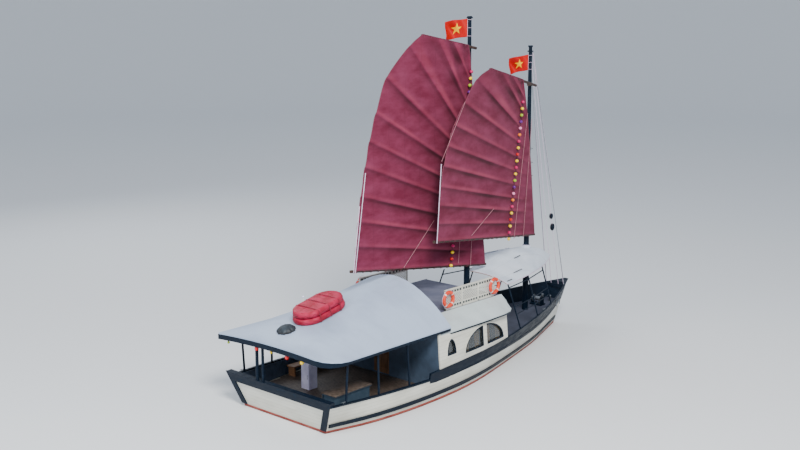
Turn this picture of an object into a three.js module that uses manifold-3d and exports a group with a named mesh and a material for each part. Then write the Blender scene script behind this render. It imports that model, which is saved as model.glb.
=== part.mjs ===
// Wooden touring junk: a flared, transom-sterned hull with an open aft deck under a vaulted roof,
// a low cabin with arched windows, a railed sundeck, a tented foredeck and two fan-battened lug sails.
// Frame: +X to the bow, +Y to port, +Z up. Origin: waterline plane, amidships, on the centreline.
// Units: millimetres.

import * as THREE from "three";
import * as BufferGeometryUtils from "three/addons/utils/BufferGeometryUtils.js";
import Module from "manifold-3d";

const wasm = await Module();
wasm.setup();

// Driving dimensions of the hull
const GAP = 0.3; // what touching pieces keep between them
const STERN_X = -9600; // transom at the waterline
const STERN_RAKE = 0.245; // transom leans aft this much for each unit of height
const STEM_X = 8500; // stem at the waterline
const STEM_RAKE = 0.57;
const FOREFOOT_CURVE = 1.4; // how fast the stem runs aft below the water, in metres
const BOOT_TOP = 120; // red paint ends here
const DECK_Z = 450; // aft deck and cabin floor
const WALL = 100; // hull side above the deck
const BULWARK_WALL = 70;
const RAIL_OUT = 35; // the rail on it stands out this far
const BOW_BLOCK = 0.94; // from here the bulwark thickens into the stem
const WELL_START = 0.012; // the well from the transom to the cabin front, as shares of the hull's length
const WELL_END = 0.58;
const AFT_BULWARK_END = 0.272; // where the high white bulwark steps down to the dark one
const AFT_BULWARK_Z = 1170; // its top at the transom
const AFT_BULWARK_FALL = 650; // and how fast that falls, for the whole length
const GRID_COUNT = 24; // stations that the pieces of the hull follow

// Stations from stern to stem: share of length, half-breadth at the waterline,
// half-breadth at the sheer, height of the sheer, depth of the canoe body, top of the white band
const STATIONS = [
  { t: 0.0, water: 2260, sheer: 2850, top: 1330, draft: 260, band: 1170 },
  { t: 0.1, water: 2760, sheer: 3040, top: 1250, draft: 420, band: 1080 },
  { t: 0.2, water: 2980, sheer: 3160, top: 1230, draft: 640, band: 1010 },
  { t: 0.3, water: 3020, sheer: 3200, top: 1330, draft: 820, band: 840 },
  { t: 0.4, water: 2930, sheer: 3130, top: 1380, draft: 920, band: 930 },
  { t: 0.5, water: 2650, sheer: 2980, top: 1430, draft: 950, band: 1000 },
  { t: 0.6, water: 2230, sheer: 2710, top: 1530, draft: 930, band: 1030 },
  { t: 0.7, water: 1780, sheer: 2300, top: 1640, draft: 850, band: 1050 },
  { t: 0.8, water: 1300, sheer: 1740, top: 1760, draft: 720, band: 1090 },
  { t: 0.9, water: 680, sheer: 1020, top: 1910, draft: 540, band: 1150 },
  { t: 1.0, water: 60, sheer: 70, top: 2060, draft: 300, band: 1230 },
];

// Keel, rudder and propeller
const KEEL_HALF = 80;
const KEEL_Z = -1500;
const STERNPOST_X = -7900;
const SHAFT_Z = -900;
const PROPELLER_X = -8160;
const PROPELLER_R = 340;
const RUDDER_X = -8900;
const RUDDER_STOCK_R = 55;
const RUN = 0.4; // running clearance round masts, shafts and stocks
const BORE_SIDES = 20;

// Aft roof, a vault that rises towards its front arch
const ROOF_AFT_X = -10100;
const ROOF_FRONT_X = -3400;
const ROOF_HALF = 3150;
const ROOF_EAVE_Z = 2930;
const ROOF_RISE_AFT = 130;
const ROOF_RISE_FRONT = 1620;
const ROOF_POWER = 1.92;
const ROOF_T = 60;
const ROOF_CORNER = 900; // at the starboard quarter only: the port corner is square
const ROOF_BEAM_Y = 2960;
const ROOF_BEAM_END = -3990;
const ROOF_POSTS = [-9100, -7500, -5850];
const AFT_CAP_T = 60;

// Cabin and sundeck
const CABIN_AFT_X = -4100;
const CABIN_FRONT_X = 900;
const CABIN_WALL_T = 60;
const CABIN_LEAN = 120; // the side walls lean in this much
const GLASS_T = 12;
// Doorways in the cabin's ends: starboard and port edge, sill and head
const DOORWAY_AFT = { y0: -420, y1: 420, z0: DECK_Z + 60, z1: 2350 };
const DOORWAY_FRONT = { y0: 330, y1: 1130, z0: 1130, z1: 2900 };
const DOOR_T = 40;
const DOOR_CLEAR = 8; // round a door, but for its hinged edge
const WINDOW_SILL_Z = 1560;
const FOREDECK_T = 55;
const CABIN_TOP_Z = 2790; // above the underside of the roof over the walls, which cuts them
const DECK_UNDER_Z = 3120;
const SUNDECK_T = 80;
const SUNDECK_HALF = 2120;
const SUNDECK_FRONT_X = 1180;
const EAVE_HALF = 3080;
const EAVE_Z = 2700;
// The sloping roof from the sundeck's edge out over the cabin wall: x, and how much the eave is drawn in
const SKIRT = [[-3950, 0], [-2500, 0], [-900, 10], [400, 60], [900, 160], [1150, 300], [1300, 520]];
const SKIRT_INNER_Z = 3200; // its top at the sundeck's edge
const SKIRT_MID_Z = 2960; // and where its slope changes
const SKIRT_T = 60;
const EAVE_T = 50;
const BULKHEAD_EDGE = 4; // between a bulkhead's edge and the walls and roof round it
const RAIL_Y = 2060;
const RAIL_TOP_Z = 4070;

// Masts and sails
const MAIN_X = 1550;
const FORE_X = 6100;
const MAST_R = 150;
const MAST_TOP_R = 80;
const MAST_FOOT_Z = 1000; // below the foredeck's top, which cuts it
const MAIN_TOP_Z = 15050;
const FORE_TOP_Z = 13700;
const SPAR_Y = -240; // boom and yard, to starboard of the mast's axis
const SPAR_R = 60;
const SAIL_HALF = 12; // half the sail's thickness
const SAIL_Y = SPAR_Y - SPAR_R - GAP - SAIL_HALF; // sail plane, outside the spars
const LATH_T = 44; // battens, across the sail plane
const LATH_HALF = 27; // half their width along it
const PARREL_HALF = 40; // half the height of the rings that hold the spars to the mast
const MAIN_SWING = 3; // degrees that the clew stands to port of the centreline
const FORE_SWING = -8;
const FLAG_TURN = 40; // flags stream aft and to port by this many degrees

// Deck gear
const WINDLASS_X = 7150;
const WINDLASS_AXLE_R = 40;
const HATCH_X = 3100;
const HATCH_HALF = 400; // half the side of the square coaming
const HATCH_WALL = 50;
const LID_OVERHANG = 20;
const LID_T = 40; // from the coaming's top to the lid's
const ANCHOR_Z = 1480;
const STAY_FOOT_X = 8650;
const STAY_R = 14;
const HELM_X = -3400;
const HELM_Z = 1300;
const HELM_SHAFT_R = 25;
const WHEEL_X = HELM_X - 260;
const WHEEL_R = 300;
const HANDLE_END = 380; // the spokes reach past the rim as handles

// Main sail battens: leech end and luff end, s forward of the mast along the chord, z height
const MAIN_BATTENS = [
  { leechS: -7060, leechZ: 6100, luffZ: 4700 },
  { leechS: -6930, leechZ: 7100, luffZ: 5330 },
  { leechS: -6770, leechZ: 8100, luffZ: 5980 },
  { leechS: -6520, leechZ: 9250, luffZ: 6630 },
  { leechS: -6270, leechZ: 10250, luffZ: 7280 },
  { leechS: -5900, leechZ: 11350, luffZ: 7920 },
  { leechS: -5280, leechZ: 12750, luffZ: 8560 },
  { leechS: -3950, leechZ: 13950, luffZ: 9300 },
  { leechS: -2300, leechZ: 14020, luffZ: 10700 },
  { leechS: -1350, leechZ: 13850, luffZ: 12200 },
];
const MAIN_SAIL = {
  x: MAIN_X,
  topZ: MAIN_TOP_Z,
  collarZ: MAIN_TOP_Z - 50,
  swing: MAIN_SWING,
  clew: [-7160, 5100],
  tack: [880, 4100],
  peak: [-3270, 14380],
  throat: [-420, 13880],
  luff: [[880, 4100], [-320, 13510]],
  battens: MAIN_BATTENS,
};
const FORE_BATTENS = [
  { leechS: -8470, leechZ: 6750, luffZ: 5420 },
  { leechS: -8380, leechZ: 7500, luffZ: 5950 },
  { leechS: -8280, leechZ: 8260, luffZ: 6500 },
  { leechS: -8070, leechZ: 9090, luffZ: 7080 },
  { leechS: -7710, leechZ: 9880, luffZ: 7680 },
  { leechS: -7250, leechZ: 10720, luffZ: 8300 },
  { leechS: -6430, leechZ: 11580, luffZ: 8950 },
  { leechS: -5360, leechZ: 12510, luffZ: 9620 },
  { leechS: -3240, leechZ: 12480, luffZ: 10450 },
  { leechS: -2260, leechZ: 12270, luffZ: 11300 },
];
const FORE_SAIL = {
  x: FORE_X,
  topZ: FORE_TOP_Z,
  collarZ: FORE_TOP_Z - 250,
  swing: FORE_SWING,
  clew: [-8550, 6020],
  tack: [205, 4870],
  peak: [-4250, 12890],
  throat: [-1260, 12250],
  luff: [[205, 4870], [-290, 8050], [-850, 10920], [-1260, 12250]],
  battens: FORE_BATTENS,
};

// Foredeck tent
const TENT_EDGE_Z = 3500;
const TENT_T = 30;
const TENT_POWER = 3; // how full the tent is across
// Stations of the tent: x, half-width, height of the ridge
const TENT = [
  { x: 1950, half: 1980, ridge: 3780 },
  { x: 2950, half: 1850, ridge: 3960 },
  { x: 4000, half: 1640, ridge: 4160 },
  { x: 5050, half: 1380, ridge: 4260 },
  { x: 6100, half: 1020, ridge: 4230 },
  { x: 7100, half: 580, ridge: 4020 },
  { x: 8050, half: 60, ridge: 3560 },
];

// Finishes of the pieces
const finish = (color, roughness = 0.6, metalness = 0) =>
  new THREE.MeshStandardMaterial({ color, roughness, metalness });
const WHITE_PAINT = 0xd8d8d0;
const ROOF_PAINT = 0xb8c2d2;
const DARK_PAINT = 0x142332;
const RED_PAINT = 0x8c322d;
const SAILCLOTH = 0x8b4459;
const TEAK = 0x7a5436;
const DECK_PAINT = 0x6e6e82;
const ORANGE = 0xf07864;
const FLOAT_RED = 0xe13c50;
const BRONZE = 0x9a7b45;
const GALVANISED = 0x8d9298;
const FLAG_RED = 0xd82a1e;

// Shape helpers
function closedGeometry(geometry) {
  const plain = geometry.clone();
  plain.deleteAttribute("normal");
  plain.deleteAttribute("uv");
  return BufferGeometryUtils.mergeVertices(plain, 0.001);
}

function solid(geometry) {
  const merged = closedGeometry(geometry);
  const vertProperties = new Float32Array(merged.attributes.position.array);
  const triVerts = new Uint32Array(merged.index.array);
  const shape = new wasm.Manifold(new wasm.Mesh({ numProp: 3, vertProperties, triVerts }));
  if (shape.volume() > 0) return shape;
  // Faces that point inwards are turned round
  for (let i = 0; i < triVerts.length; i += 3) {
    [triVerts[i], triVerts[i + 1]] = [triVerts[i + 1], triVerts[i]];
  }
  return new wasm.Manifold(new wasm.Mesh({ numProp: 3, vertProperties, triVerts }));
}

function geometryOf(shape) {
  const mesh = shape.getMesh();
  const geometry = new THREE.BufferGeometry();
  geometry.setAttribute("position", new THREE.BufferAttribute(new Float32Array(mesh.vertProperties), 3));
  geometry.setIndex(new THREE.BufferAttribute(new Uint32Array(mesh.triVerts), 1));
  geometry.computeVertexNormals();
  return geometry;
}

function join(...shapes) {
  return shapes.reduce((whole, shape) => whole.add(shape));
}

function box(x0, x1, y0, y1, z0, z1) {
  const geometry = new THREE.BoxGeometry(x1 - x0, y1 - y0, z1 - z0);
  geometry.translate((x0 + x1) / 2, (y0 + y1) / 2, (z0 + z1) / 2);
  return solid(geometry);
}

function rod(from, to, r0, r1 = r0, sides = 12) {
  const a = new THREE.Vector3(...from);
  const b = new THREE.Vector3(...to);
  const way = b.clone().sub(a);
  const geometry = new THREE.CylinderGeometry(r1, r0, way.length(), sides);
  geometry.translate(0, way.length() / 2, 0);
  const turn = new THREE.Quaternion().setFromUnitVectors(new THREE.Vector3(0, 1, 0), way.normalize());
  geometry.applyQuaternion(turn);
  geometry.translate(a.x, a.y, a.z);
  return solid(geometry);
}

// Radius of a faceted bore that a pin of radius r turns in
const boreFor = (r) => (r + RUN) / Math.cos(Math.PI / BORE_SIDES);

// A ring round the Z axis at (x, y, z): inner and outer radius, height
function ring(x, y, z, inner, outer, height, sides = 20) {
  const profile = [[inner, 0], [outer, 0], [outer, height], [inner, height], [inner, 0]];
  const geometry = new THREE.LatheGeometry(profile.map(([r, h]) => new THREE.Vector2(r, h)), sides);
  geometry.rotateX(Math.PI / 2);
  geometry.translate(x, y, z);
  return solid(geometry);
}

// A flat plate in the XZ plane from y0 to y1, with openings in it
function platePath(points, y0, y1, openings = []) {
  const path = (corners) => corners.map(([x, z]) => new THREE.Vector2(x, z));
  const shape = new THREE.Shape(path(points));
  shape.holes = openings.map((corners) => new THREE.Path(path(corners)));
  const geometry = new THREE.ExtrudeGeometry(shape, { depth: y1 - y0, bevelEnabled: false });
  geometry.rotateX(Math.PI / 2);
  geometry.translate(0, y1, 0);
  return solid(geometry);
}

// A closed loft: each station has two rows of points, a and b, of one length
function loft(stations) {
  const rows = stations[0].a.length;
  const positions = [];
  for (const { a, b } of stations) {
    for (const point of a) positions.push(...point);
    for (const point of b) positions.push(...point);
  }
  const index = [];
  const quad = (p, q, r, s) => index.push(p, q, r, p, r, s);
  const around = [];
  for (let i = 0; i < rows; i += 1) around.push(i);
  for (let i = rows - 1; i >= 0; i -= 1) around.push(rows + i);
  const per = rows * 2;
  for (let k = 0; k + 1 < stations.length; k += 1) {
    around.forEach((corner, i) => {
      const next = around[(i + 1) % around.length];
      quad(k * per + corner, k * per + next, (k + 1) * per + next, (k + 1) * per + corner);
    });
  }
  const last = (stations.length - 1) * per;
  for (let i = 0; i + 1 < rows; i += 1) {
    quad(i, rows + i, rows + i + 1, i + 1);
    quad(last + i, last + i + 1, last + rows + i + 1, last + rows + i);
  }
  const geometry = new THREE.BufferGeometry();
  geometry.setAttribute("position", new THREE.Float32BufferAttribute(positions, 3));
  geometry.setIndex(index);
  return solid(geometry);
}

// Hull form: the station table is faired on to an even grid, and every piece follows that grid
const shares = (t0, t1, count) => Array.from({ length: count + 1 }, (_, i) => t0 + (t1 - t0) * i / count);

function fair(column, t) {
  const place = t * (STATIONS.length - 1);
  const k = Math.min(Math.floor(place), STATIONS.length - 2);
  const u = place - k;
  const p1 = STATIONS[k][column];
  const p2 = STATIONS[k + 1][column];
  const p0 = k > 0 ? STATIONS[k - 1][column] : 2 * p1 - p2;
  const p3 = k + 2 < STATIONS.length ? STATIONS[k + 2][column] : 2 * p2 - p1;
  return p1 + 0.5 * u * (p2 - p0 + u * (2 * p0 - 5 * p1 + 4 * p2 - p3 + u * (3 * (p1 - p2) + p3 - p0)));
}

const GRID = shares(0, 1, GRID_COUNT).map((t) => ({
  water: fair("water", t),
  flare: (fair("sheer", t) - fair("water", t)) / fair("top", t),
  top: fair("top", t),
  draft: fair("draft", t),
  band: fair("band", t),
}));

function form(column, t) {
  const place = Math.min(Math.max(t, 0), 1) * GRID_COUNT;
  const k = Math.min(Math.floor(place), GRID_COUNT - 1);
  return GRID[k][column] + (GRID[k + 1][column] - GRID[k][column]) * (place - k);
}

function stationsBetween(t0, t1) {
  const inner = shares(0, 1, GRID_COUNT).filter((t) => t > t0 + 1e-6 && t < t1 - 1e-6);
  return [t0, ...inner, t1];
}

function hullX(t, z) {
  const stern = STERN_X - STERN_RAKE * z;
  const forefoot = 1000 * FOREFOOT_CURVE * (Math.abs(z) / 1000) ** 1.5;
  const stem = z >= 0 ? STEM_X + STEM_RAKE * z : STEM_X - forefoot;
  return stern + (stem - stern) * t;
}

function hullHalf(t, z) {
  const water = form("water", t);
  if (z >= 0) return water + form("flare", t) * z;
  const depth = Math.min(1, -z / form("draft", t));
  const keel = Math.min(KEEL_HALF * 0.9, water * 0.9);
  return keel + (water - keel) * (1 - depth ** 2.4) ** 0.62;
}

const highTop = (t) => AFT_BULWARK_Z - AFT_BULWARK_FALL * t;
const bandTop = (t) => form("band", t);
const sheerTop = (t) => form("top", t);

function shareAt(x, z) {
  return (x - hullX(0, z)) / (hullX(1, z) - hullX(0, z));
}

// Breadth of the hull at a place x and height z
function halfAt(x, z) {
  return hullHalf(shareAt(x, z), z);
}

// Solid slice of the hull from starboard to port, drawn in by inset
function hullBlock(t0, t1, heights, inset = 0) {
  return loft(stationsBetween(t0, t1).map((t) => {
    const row = heights(t).map((z) => [hullX(t, z), Math.max(hullHalf(t, z) - inset, 20), z]);
    return { a: row.map(([x, y, z]) => [x, -y, z]), b: row };
  }));
}

// Strip along one side of the hull between two offsets from its skin; side is -1 to starboard
function hullStrip(t0, t1, heights, inner, outer, side) {
  return loft(stationsBetween(t0, t1).map((t) => {
    const row = (offset) => heights(t).map((z) => [hullX(t, z), side * (hullHalf(t, z) + offset), z]);
    return { a: row(outer), b: row(inner) };
  }));
}

// Nodes
const junk = new THREE.Group();
junk.name = "junk";

function add(name, shape, material) {
  const mesh = new THREE.Mesh(geometryOf(shape), material);
  mesh.name = name;
  junk.add(mesh);
  return mesh;
}

function buildHull() {
  const below = (t) => {
    const depth = form("draft", t);
    return [-depth, -0.96 * depth, -0.85 * depth, -0.62 * depth, -0.32 * depth, 0, BOOT_TOP];
  };
  const body = hullBlock(0, 1, below);
  const keel = platePath([
    [8050, -250], [7300, -800], [5800, -1180], [3000, -1420], [0, KEEL_Z], [STERNPOST_X, KEEL_Z],
    [STERNPOST_X, -300], [0, -300],
  ], -KEEL_HALF, KEEL_HALF);
  const shoe = box(-9250, STERNPOST_X + 50, -50, 50, KEEL_Z, KEEL_Z + 70);
  const sternTube = rod([STERNPOST_X + 200, 0, SHAFT_Z], [STERNPOST_X - 60, 0, SHAFT_Z], 95);
  const boreR = boreFor(RUDDER_STOCK_R);
  const rudderBore = rod([RUDDER_X, 0, -900], [RUDDER_X, 0, 20], boreR, boreR, BORE_SIDES);
  const bottom = join(body, keel, shoe, sternTube).subtract(rudderBore);
  add("hull_bottom", bottom, finish(RED_PAINT, 0.7));

  const low = BOOT_TOP + GAP;
  const sides = hullBlock(0, 1, (t) => [low, DECK_Z, bandTop(t)]);
  const high = hullBlock(0, AFT_BULWARK_END, (t) => [low, DECK_Z, highTop(t)]);
  const well = hullBlock(WELL_START, WELL_END, () => [DECK_Z, 900, 1500], WALL);
  add("hull_topsides", sides.add(high).subtract(well), finish(WHITE_PAINT, 0.4));
}

function buildTrim() {
  const skin = hullBlock(0, 1, (t) => [BOOT_TOP + GAP, DECK_Z, bandTop(t)], -GAP);
  for (const [word, side] of [["starboard", -1], ["port", 1]]) {
    const strake = hullStrip(0.004, 0.985, () => [255, 300, 375, 410], -30, 55, side);
    add(`rubbing_strake_${word}`, strake.subtract(skin), finish(DARK_PAINT, 0.4));
  }
  // Black frame round the white transom
  const slab = (grow, near, far, low, high) => loft([near, far].map((off) => {
    const row = [low, high].map((z) => [hullX(0, z) + off, hullHalf(0, z) + grow, z]);
    return { a: row.map(([x, y, z]) => [x, -y, z]), b: row };
  }));
  const frame = slab(30, -60, -GAP, 130, 1400).subtract(slab(-250, -90, 30, 60, 1040));
  add("transom_frame", frame, finish(DARK_PAINT, 0.4));
  // Cap on the high aft bulwark
  const cap = hullBlock(0, AFT_BULWARK_END, (t) => [highTop(t) + GAP, highTop(t) + 60], -30)
    .subtract(hullBlock(WELL_START, 0.4, () => [600, 1500], WALL));
  const transomCap = hullBlock(0, 0.011, (t) => [highTop(t) + 40, 1400]);
  add("aft_cap_rail", cap.add(transomCap), finish(DARK_PAINT, 0.4));
  // Dark bulwark from the step round the bow, with a rail along its outer edge
  const section = (t, side) => {
    const within = t < BOW_BLOCK ? t : BOW_BLOCK + (t - BOW_BLOCK) * 0.45;
    const point = (share, z, offset) => [hullX(share, z), side * (hullHalf(share, z) + offset), z];
    const outside = [
      [bandTop(t) + GAP, 0], [sheerTop(t) - 75, 0], [sheerTop(t) - 55, RAIL_OUT], [sheerTop(t), RAIL_OUT],
    ];
    const inside = [bandTop(within) + GAP, sheerTop(within) - 120, sheerTop(within) - 60, sheerTop(within)];
    return {
      a: outside.map(([z, offset]) => point(t, z, offset)),
      b: inside.map((z) => point(within, z, -BULWARK_WALL)),
    };
  };
  const along = stationsBetween(AFT_BULWARK_END + 0.0004, 1);
  const starboard = along.map((t) => section(t, -1));
  const port = along.map((t) => section(t, 1)).reverse();
  add("bulwark_forward", loft([...starboard, ...port]), finish(DARK_PAINT, 0.45));
  add("foredeck", hullBlock(WELL_END - 0.004, 0.962,
    (t) => [bandTop(t) + GAP, bandTop(t) + FOREDECK_T], BULWARK_WALL + 12), finish(DECK_PAINT, 0.75));
}

function roofRise(x) {
  const u = (x - ROOF_AFT_X) / (ROOF_FRONT_X - ROOF_AFT_X);
  return ROOF_RISE_AFT + (ROOF_RISE_FRONT - ROOF_RISE_AFT) * u;
}

function roofZ(x, y) {
  return ROOF_EAVE_Z + roofRise(x) * (1 - Math.min(1, Math.abs(y) / ROOF_HALF) ** ROOF_POWER);
}

// The aft roof between two surfaces, given by their depths below its top surface
function roofShell(lower, raised) {
  const across = (half) => shares(-1, 1, 16).map((u) => (u < 0 ? u * half : u * ROOF_HALF));
  const corner = shares(0, 1, 4).map((u) => {
    const turn = u * Math.PI / 2;
    return [ROOF_AFT_X + ROOF_CORNER * (1 - Math.cos(turn)), ROOF_HALF - ROOF_CORNER * (1 - Math.sin(turn))];
  });
  const start = ROOF_AFT_X + ROOF_CORNER;
  const straight = shares(0.2, 1, 5).map((u) => [start + u * (ROOF_FRONT_X - start), ROOF_HALF]);
  return loft([...corner, ...straight].map(([x, half]) => ({
    a: across(half).map((y) => [x, y, roofZ(x, y) + raised]),
    b: across(half).map((y) => [x, y, roofZ(x, y) - lower]),
  })));
}

function buildAftRoof() {
  add("aft_roof", roofShell(ROOF_T, 0), finish(ROOF_PAINT, 0.5));

  // A beam under each eave on posts that stand on the bulwark cap
  const straightStart = ROOF_AFT_X + ROOF_CORNER;
  const roofCutter = roofShell(ROOF_T + GAP, 150);
  const capCutter = hullBlock(0, AFT_BULWARK_END, (t) => [600, highTop(t) + AFT_CAP_T + GAP], -90);
  for (const [word, side] of [["starboard", -1], ["port", 1]]) {
    const rows = (x, y) => [180, 25].map((drop) => [x, side * y, roofZ(x, ROOF_BEAM_Y) - drop]);
    const beam = loft([straightStart + 20, ROOF_BEAM_END].map((x) => ({
      a: rows(x, ROOF_BEAM_Y + 45),
      b: rows(x, ROOF_BEAM_Y - 45),
    })));
    const posts = ROOF_POSTS.map((x) => {
      const foot = highTop(shareAt(x, 1100)) + 30;
      const head = [x, side * ROOF_BEAM_Y, roofZ(x, ROOF_BEAM_Y) - 120];
      return rod([x, side * (halfAt(x, foot) - 50), foot], head, 45, 45, 8);
    });
    const frame = join(beam, ...posts).subtract(roofCutter).subtract(capCutter);
    add(`roof_frame_${word}`, frame, finish(DARK_PAINT, 0.4));
  }
}

// What stands on the dark bulwark or on the foredeck is cut to its slope
const bulwarkTopCutter = () => hullBlock(AFT_BULWARK_END, 0.99, (t) => [700, sheerTop(t) + GAP], -60);
const foredeckCutter = () => hullBlock(0.5, 0.99, (t) => [700, bandTop(t) + FOREDECK_T + GAP]);

function buildCabin() {
  const t0 = shareAt(CABIN_AFT_X, 1350);
  const t1 = shareAt(CABIN_FRONT_X, 1350);
  const foot = (t) => hullHalf(t, sheerTop(t)) - 5;
  // A leaning strip of the cabin side between two offsets from its outer face
  const strip = (start, end, outer, inner, side) => loft(stationsBetween(start, end).map((t) => {
    const x = hullX(t, 1350);
    const rows = (offset) => [
      [x, side * (foot(t) + offset), sheerTop(t) - 40],
      [x, side * (foot(t) - CABIN_LEAN + offset), CABIN_TOP_Z],
    ];
    return { a: rows(outer), b: rows(inner) };
  }));
  for (const [word, side] of [["starboard", -1], ["port", 1]]) {
    const wall = strip(t0, t1, 0, -CABIN_WALL_T, side)
      .subtract(bulwarkTopCutter()).subtract(skirtRoof(side, 200, GAP));
    const arch = windowArch(-950, 1500, WINDOW_SILL_Z, 940, side);
    const mullion = box(-1050, -850, -4000, 4000, 1400, 2700);
    const sideLight = windowArch(-3320, 330, 1720, 700, side);
    const pierced = wall.subtract(arch.subtract(mullion)).subtract(sideLight);
    add(`cabin_side_${word}`, pierced, finish(WHITE_PAINT, 0.45));
    const inside = -CABIN_WALL_T - GAP;
    const glass = strip(t0 + 0.012, t1 - 0.008, inside, inside - GLASS_T, side)
      .intersect(box(-5000, 2000, -4000, 4000, WINDOW_SILL_Z - 15, 2560));
    add(`cabin_glass_${word}`, glass, finish(0x33444f, 0.1));
  }
  // Bulkheads at both ends, each with a doorway. Their edges follow the topsides, the bulwark, the leaning
  // walls and the underside of the roof beside the sundeck
  const edgeOf = (x) => {
    const t = shareAt(x, 1350);
    const wallFoot = sheerTop(t) - 40;
    const inHull = (z, thick) => [x, hullHalf(shareAt(x, z), z) - thick - BULKHEAD_EDGE, z];
    const inWall = (z) => {
      const lean = CABIN_LEAN * (z - wallFoot) / (CABIN_TOP_Z - wallFoot);
      return [x, foot(t) - lean - CABIN_WALL_T - BULKHEAD_EDGE, z];
    };
    const band = bandTop(t);
    const top = sheerTop(t);
    return [
      inHull(DECK_Z + GAP, WALL), inHull(band + 5, WALL), inHull(band + 20, BULWARK_WALL),
      inHull(top - 5, BULWARK_WALL), inWall(top + 10), inWall(CABIN_TOP_Z - 5),
      [x, skirtMid(drawnInAt(x)), SKIRT_MID_Z - SKIRT_T - BULKHEAD_EDGE],
      [x, SUNDECK_HALF, DECK_UNDER_Z - GAP],
    ];
  };
  const bulkhead = (x, doorway) => {
    const plate = loft([x, x + CABIN_WALL_T].map((face) => ({
      a: edgeOf(face).map(([px, y, z]) => [px, -y, z]),
      b: edgeOf(face),
    })));
    return plate.subtract(box(x - 50, x + 150, doorway.y0, doorway.y1, doorway.z0, doorway.z1));
  };
  add("cabin_bulkhead_aft", bulkhead(CABIN_AFT_X, DOORWAY_AFT), finish(WHITE_PAINT, 0.45));
  const front = bulkhead(CABIN_FRONT_X - CABIN_WALL_T, DOORWAY_FRONT);
  add("cabin_bulkhead_front", front, finish(WHITE_PAINT, 0.45));
}

// A half-ellipse cutter standing on sillZ, centred at x
function windowArch(x, half, sillZ, rise, side) {
  const points = shares(0, 1, 16).map((u) => {
    const turn = u * Math.PI;
    return [x + half * Math.cos(turn), sillZ + rise * Math.sin(turn)];
  });
  return side < 0 ? platePath(points, -3600, -2300) : platePath(points, 2300, 3600);
}

function buildDoors() {
  // Cabin doors, each hinged on its starboard edge
  const leaf = (x, doorway) => {
    const y0 = doorway.y0 + RUN;
    const y1 = doorway.y1 - DOOR_CLEAR;
    const z0 = doorway.z0 + DOOR_CLEAR;
    const z1 = doorway.z1 - DOOR_CLEAR;
    const panel = box(x, x + DOOR_T, y0, y1, z0, z1);
    const light = box(x - 10, x + DOOR_T + 10, y0 + 130, y1 - 130, z0 + 0.55 * (z1 - z0), z1 - 150);
    return panel.subtract(light);
  };
  add("cabin_door_aft", leaf(CABIN_AFT_X, DOORWAY_AFT), finish(TEAK, 0.5));
  add("cabin_door_front", leaf(CABIN_FRONT_X - DOOR_T, DOORWAY_FRONT), finish(TEAK, 0.5));
}

// The half-breadth at which the skirt roof's slope changes
const skirtMid = (drawnIn) => EAVE_HALF - 420 - drawnIn * 0.5;

// How much the skirt roof's eave is drawn in at a place along the cabin
function drawnInAt(x) {
  const k = Math.max(1, SKIRT.findIndex(([end]) => x <= end));
  const [[x0, drawn0], [x1, drawn1]] = [SKIRT[k - 1], SKIRT[k]];
  return drawn0 + (drawn1 - drawn0) * (x - x0) / (x1 - x0);
}

function skirtRoof(side, above, below) {
  return loft(SKIRT.map(([x, drawnIn]) => {
    const inner = side * (SUNDECK_HALF + GAP);
    const outer = side * (EAVE_HALF - drawnIn);
    const mid = side * skirtMid(drawnIn);
    const row = (lift, eaveZ) => [
      [x, inner, SKIRT_INNER_Z + lift], [x, mid, SKIRT_MID_Z + lift], [x, outer, eaveZ],
    ];
    return { a: row(above, EAVE_Z + above), b: row(-SKIRT_T - below, EAVE_Z - EAVE_T - below) };
  }));
}

function buildSundeck() {
  const deckTop = DECK_UNDER_Z + SUNDECK_T;
  add("sundeck", box(CABIN_AFT_X - 100, SUNDECK_FRONT_X, -SUNDECK_HALF, SUNDECK_HALF, DECK_UNDER_Z, deckTop),
    finish(DECK_PAINT, 0.8));
  add("skirt_roof_starboard", skirtRoof(-1, 0, 0), finish(ROOF_PAINT, 0.5));
  add("skirt_roof_port", skirtRoof(1, 0, 0), finish(ROOF_PAINT, 0.5));
  railing("starboard", -1, -2500, 850);
  railing("port", 1, -3250, -150);
}

function railing(word, side, x0, x1) {
  const foot = DECK_UNDER_Z + SUNDECK_T + GAP;
  const y = side * RAIL_Y;
  const strip = (z0, z1, half) => box(x0, x1, y - half, y + half, z0, z1);
  const posts = [0, 1, 2, 3].map((i) => {
    const x = x0 + 30 + (x1 - x0 - 60) * i / 3;
    return box(x - 30, x + 30, y - 30, y + 30, foot, RAIL_TOP_Z - 20);
  });
  const rail = join(strip(RAIL_TOP_Z - 60, RAIL_TOP_Z, 45), strip(RAIL_TOP_Z - 700, RAIL_TOP_Z - 160, 12),
    strip(foot, foot + 90, 30), ...posts);
  add(`sundeck_rail_${word}`, rail, finish(WHITE_PAINT, 0.5));
}

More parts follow.
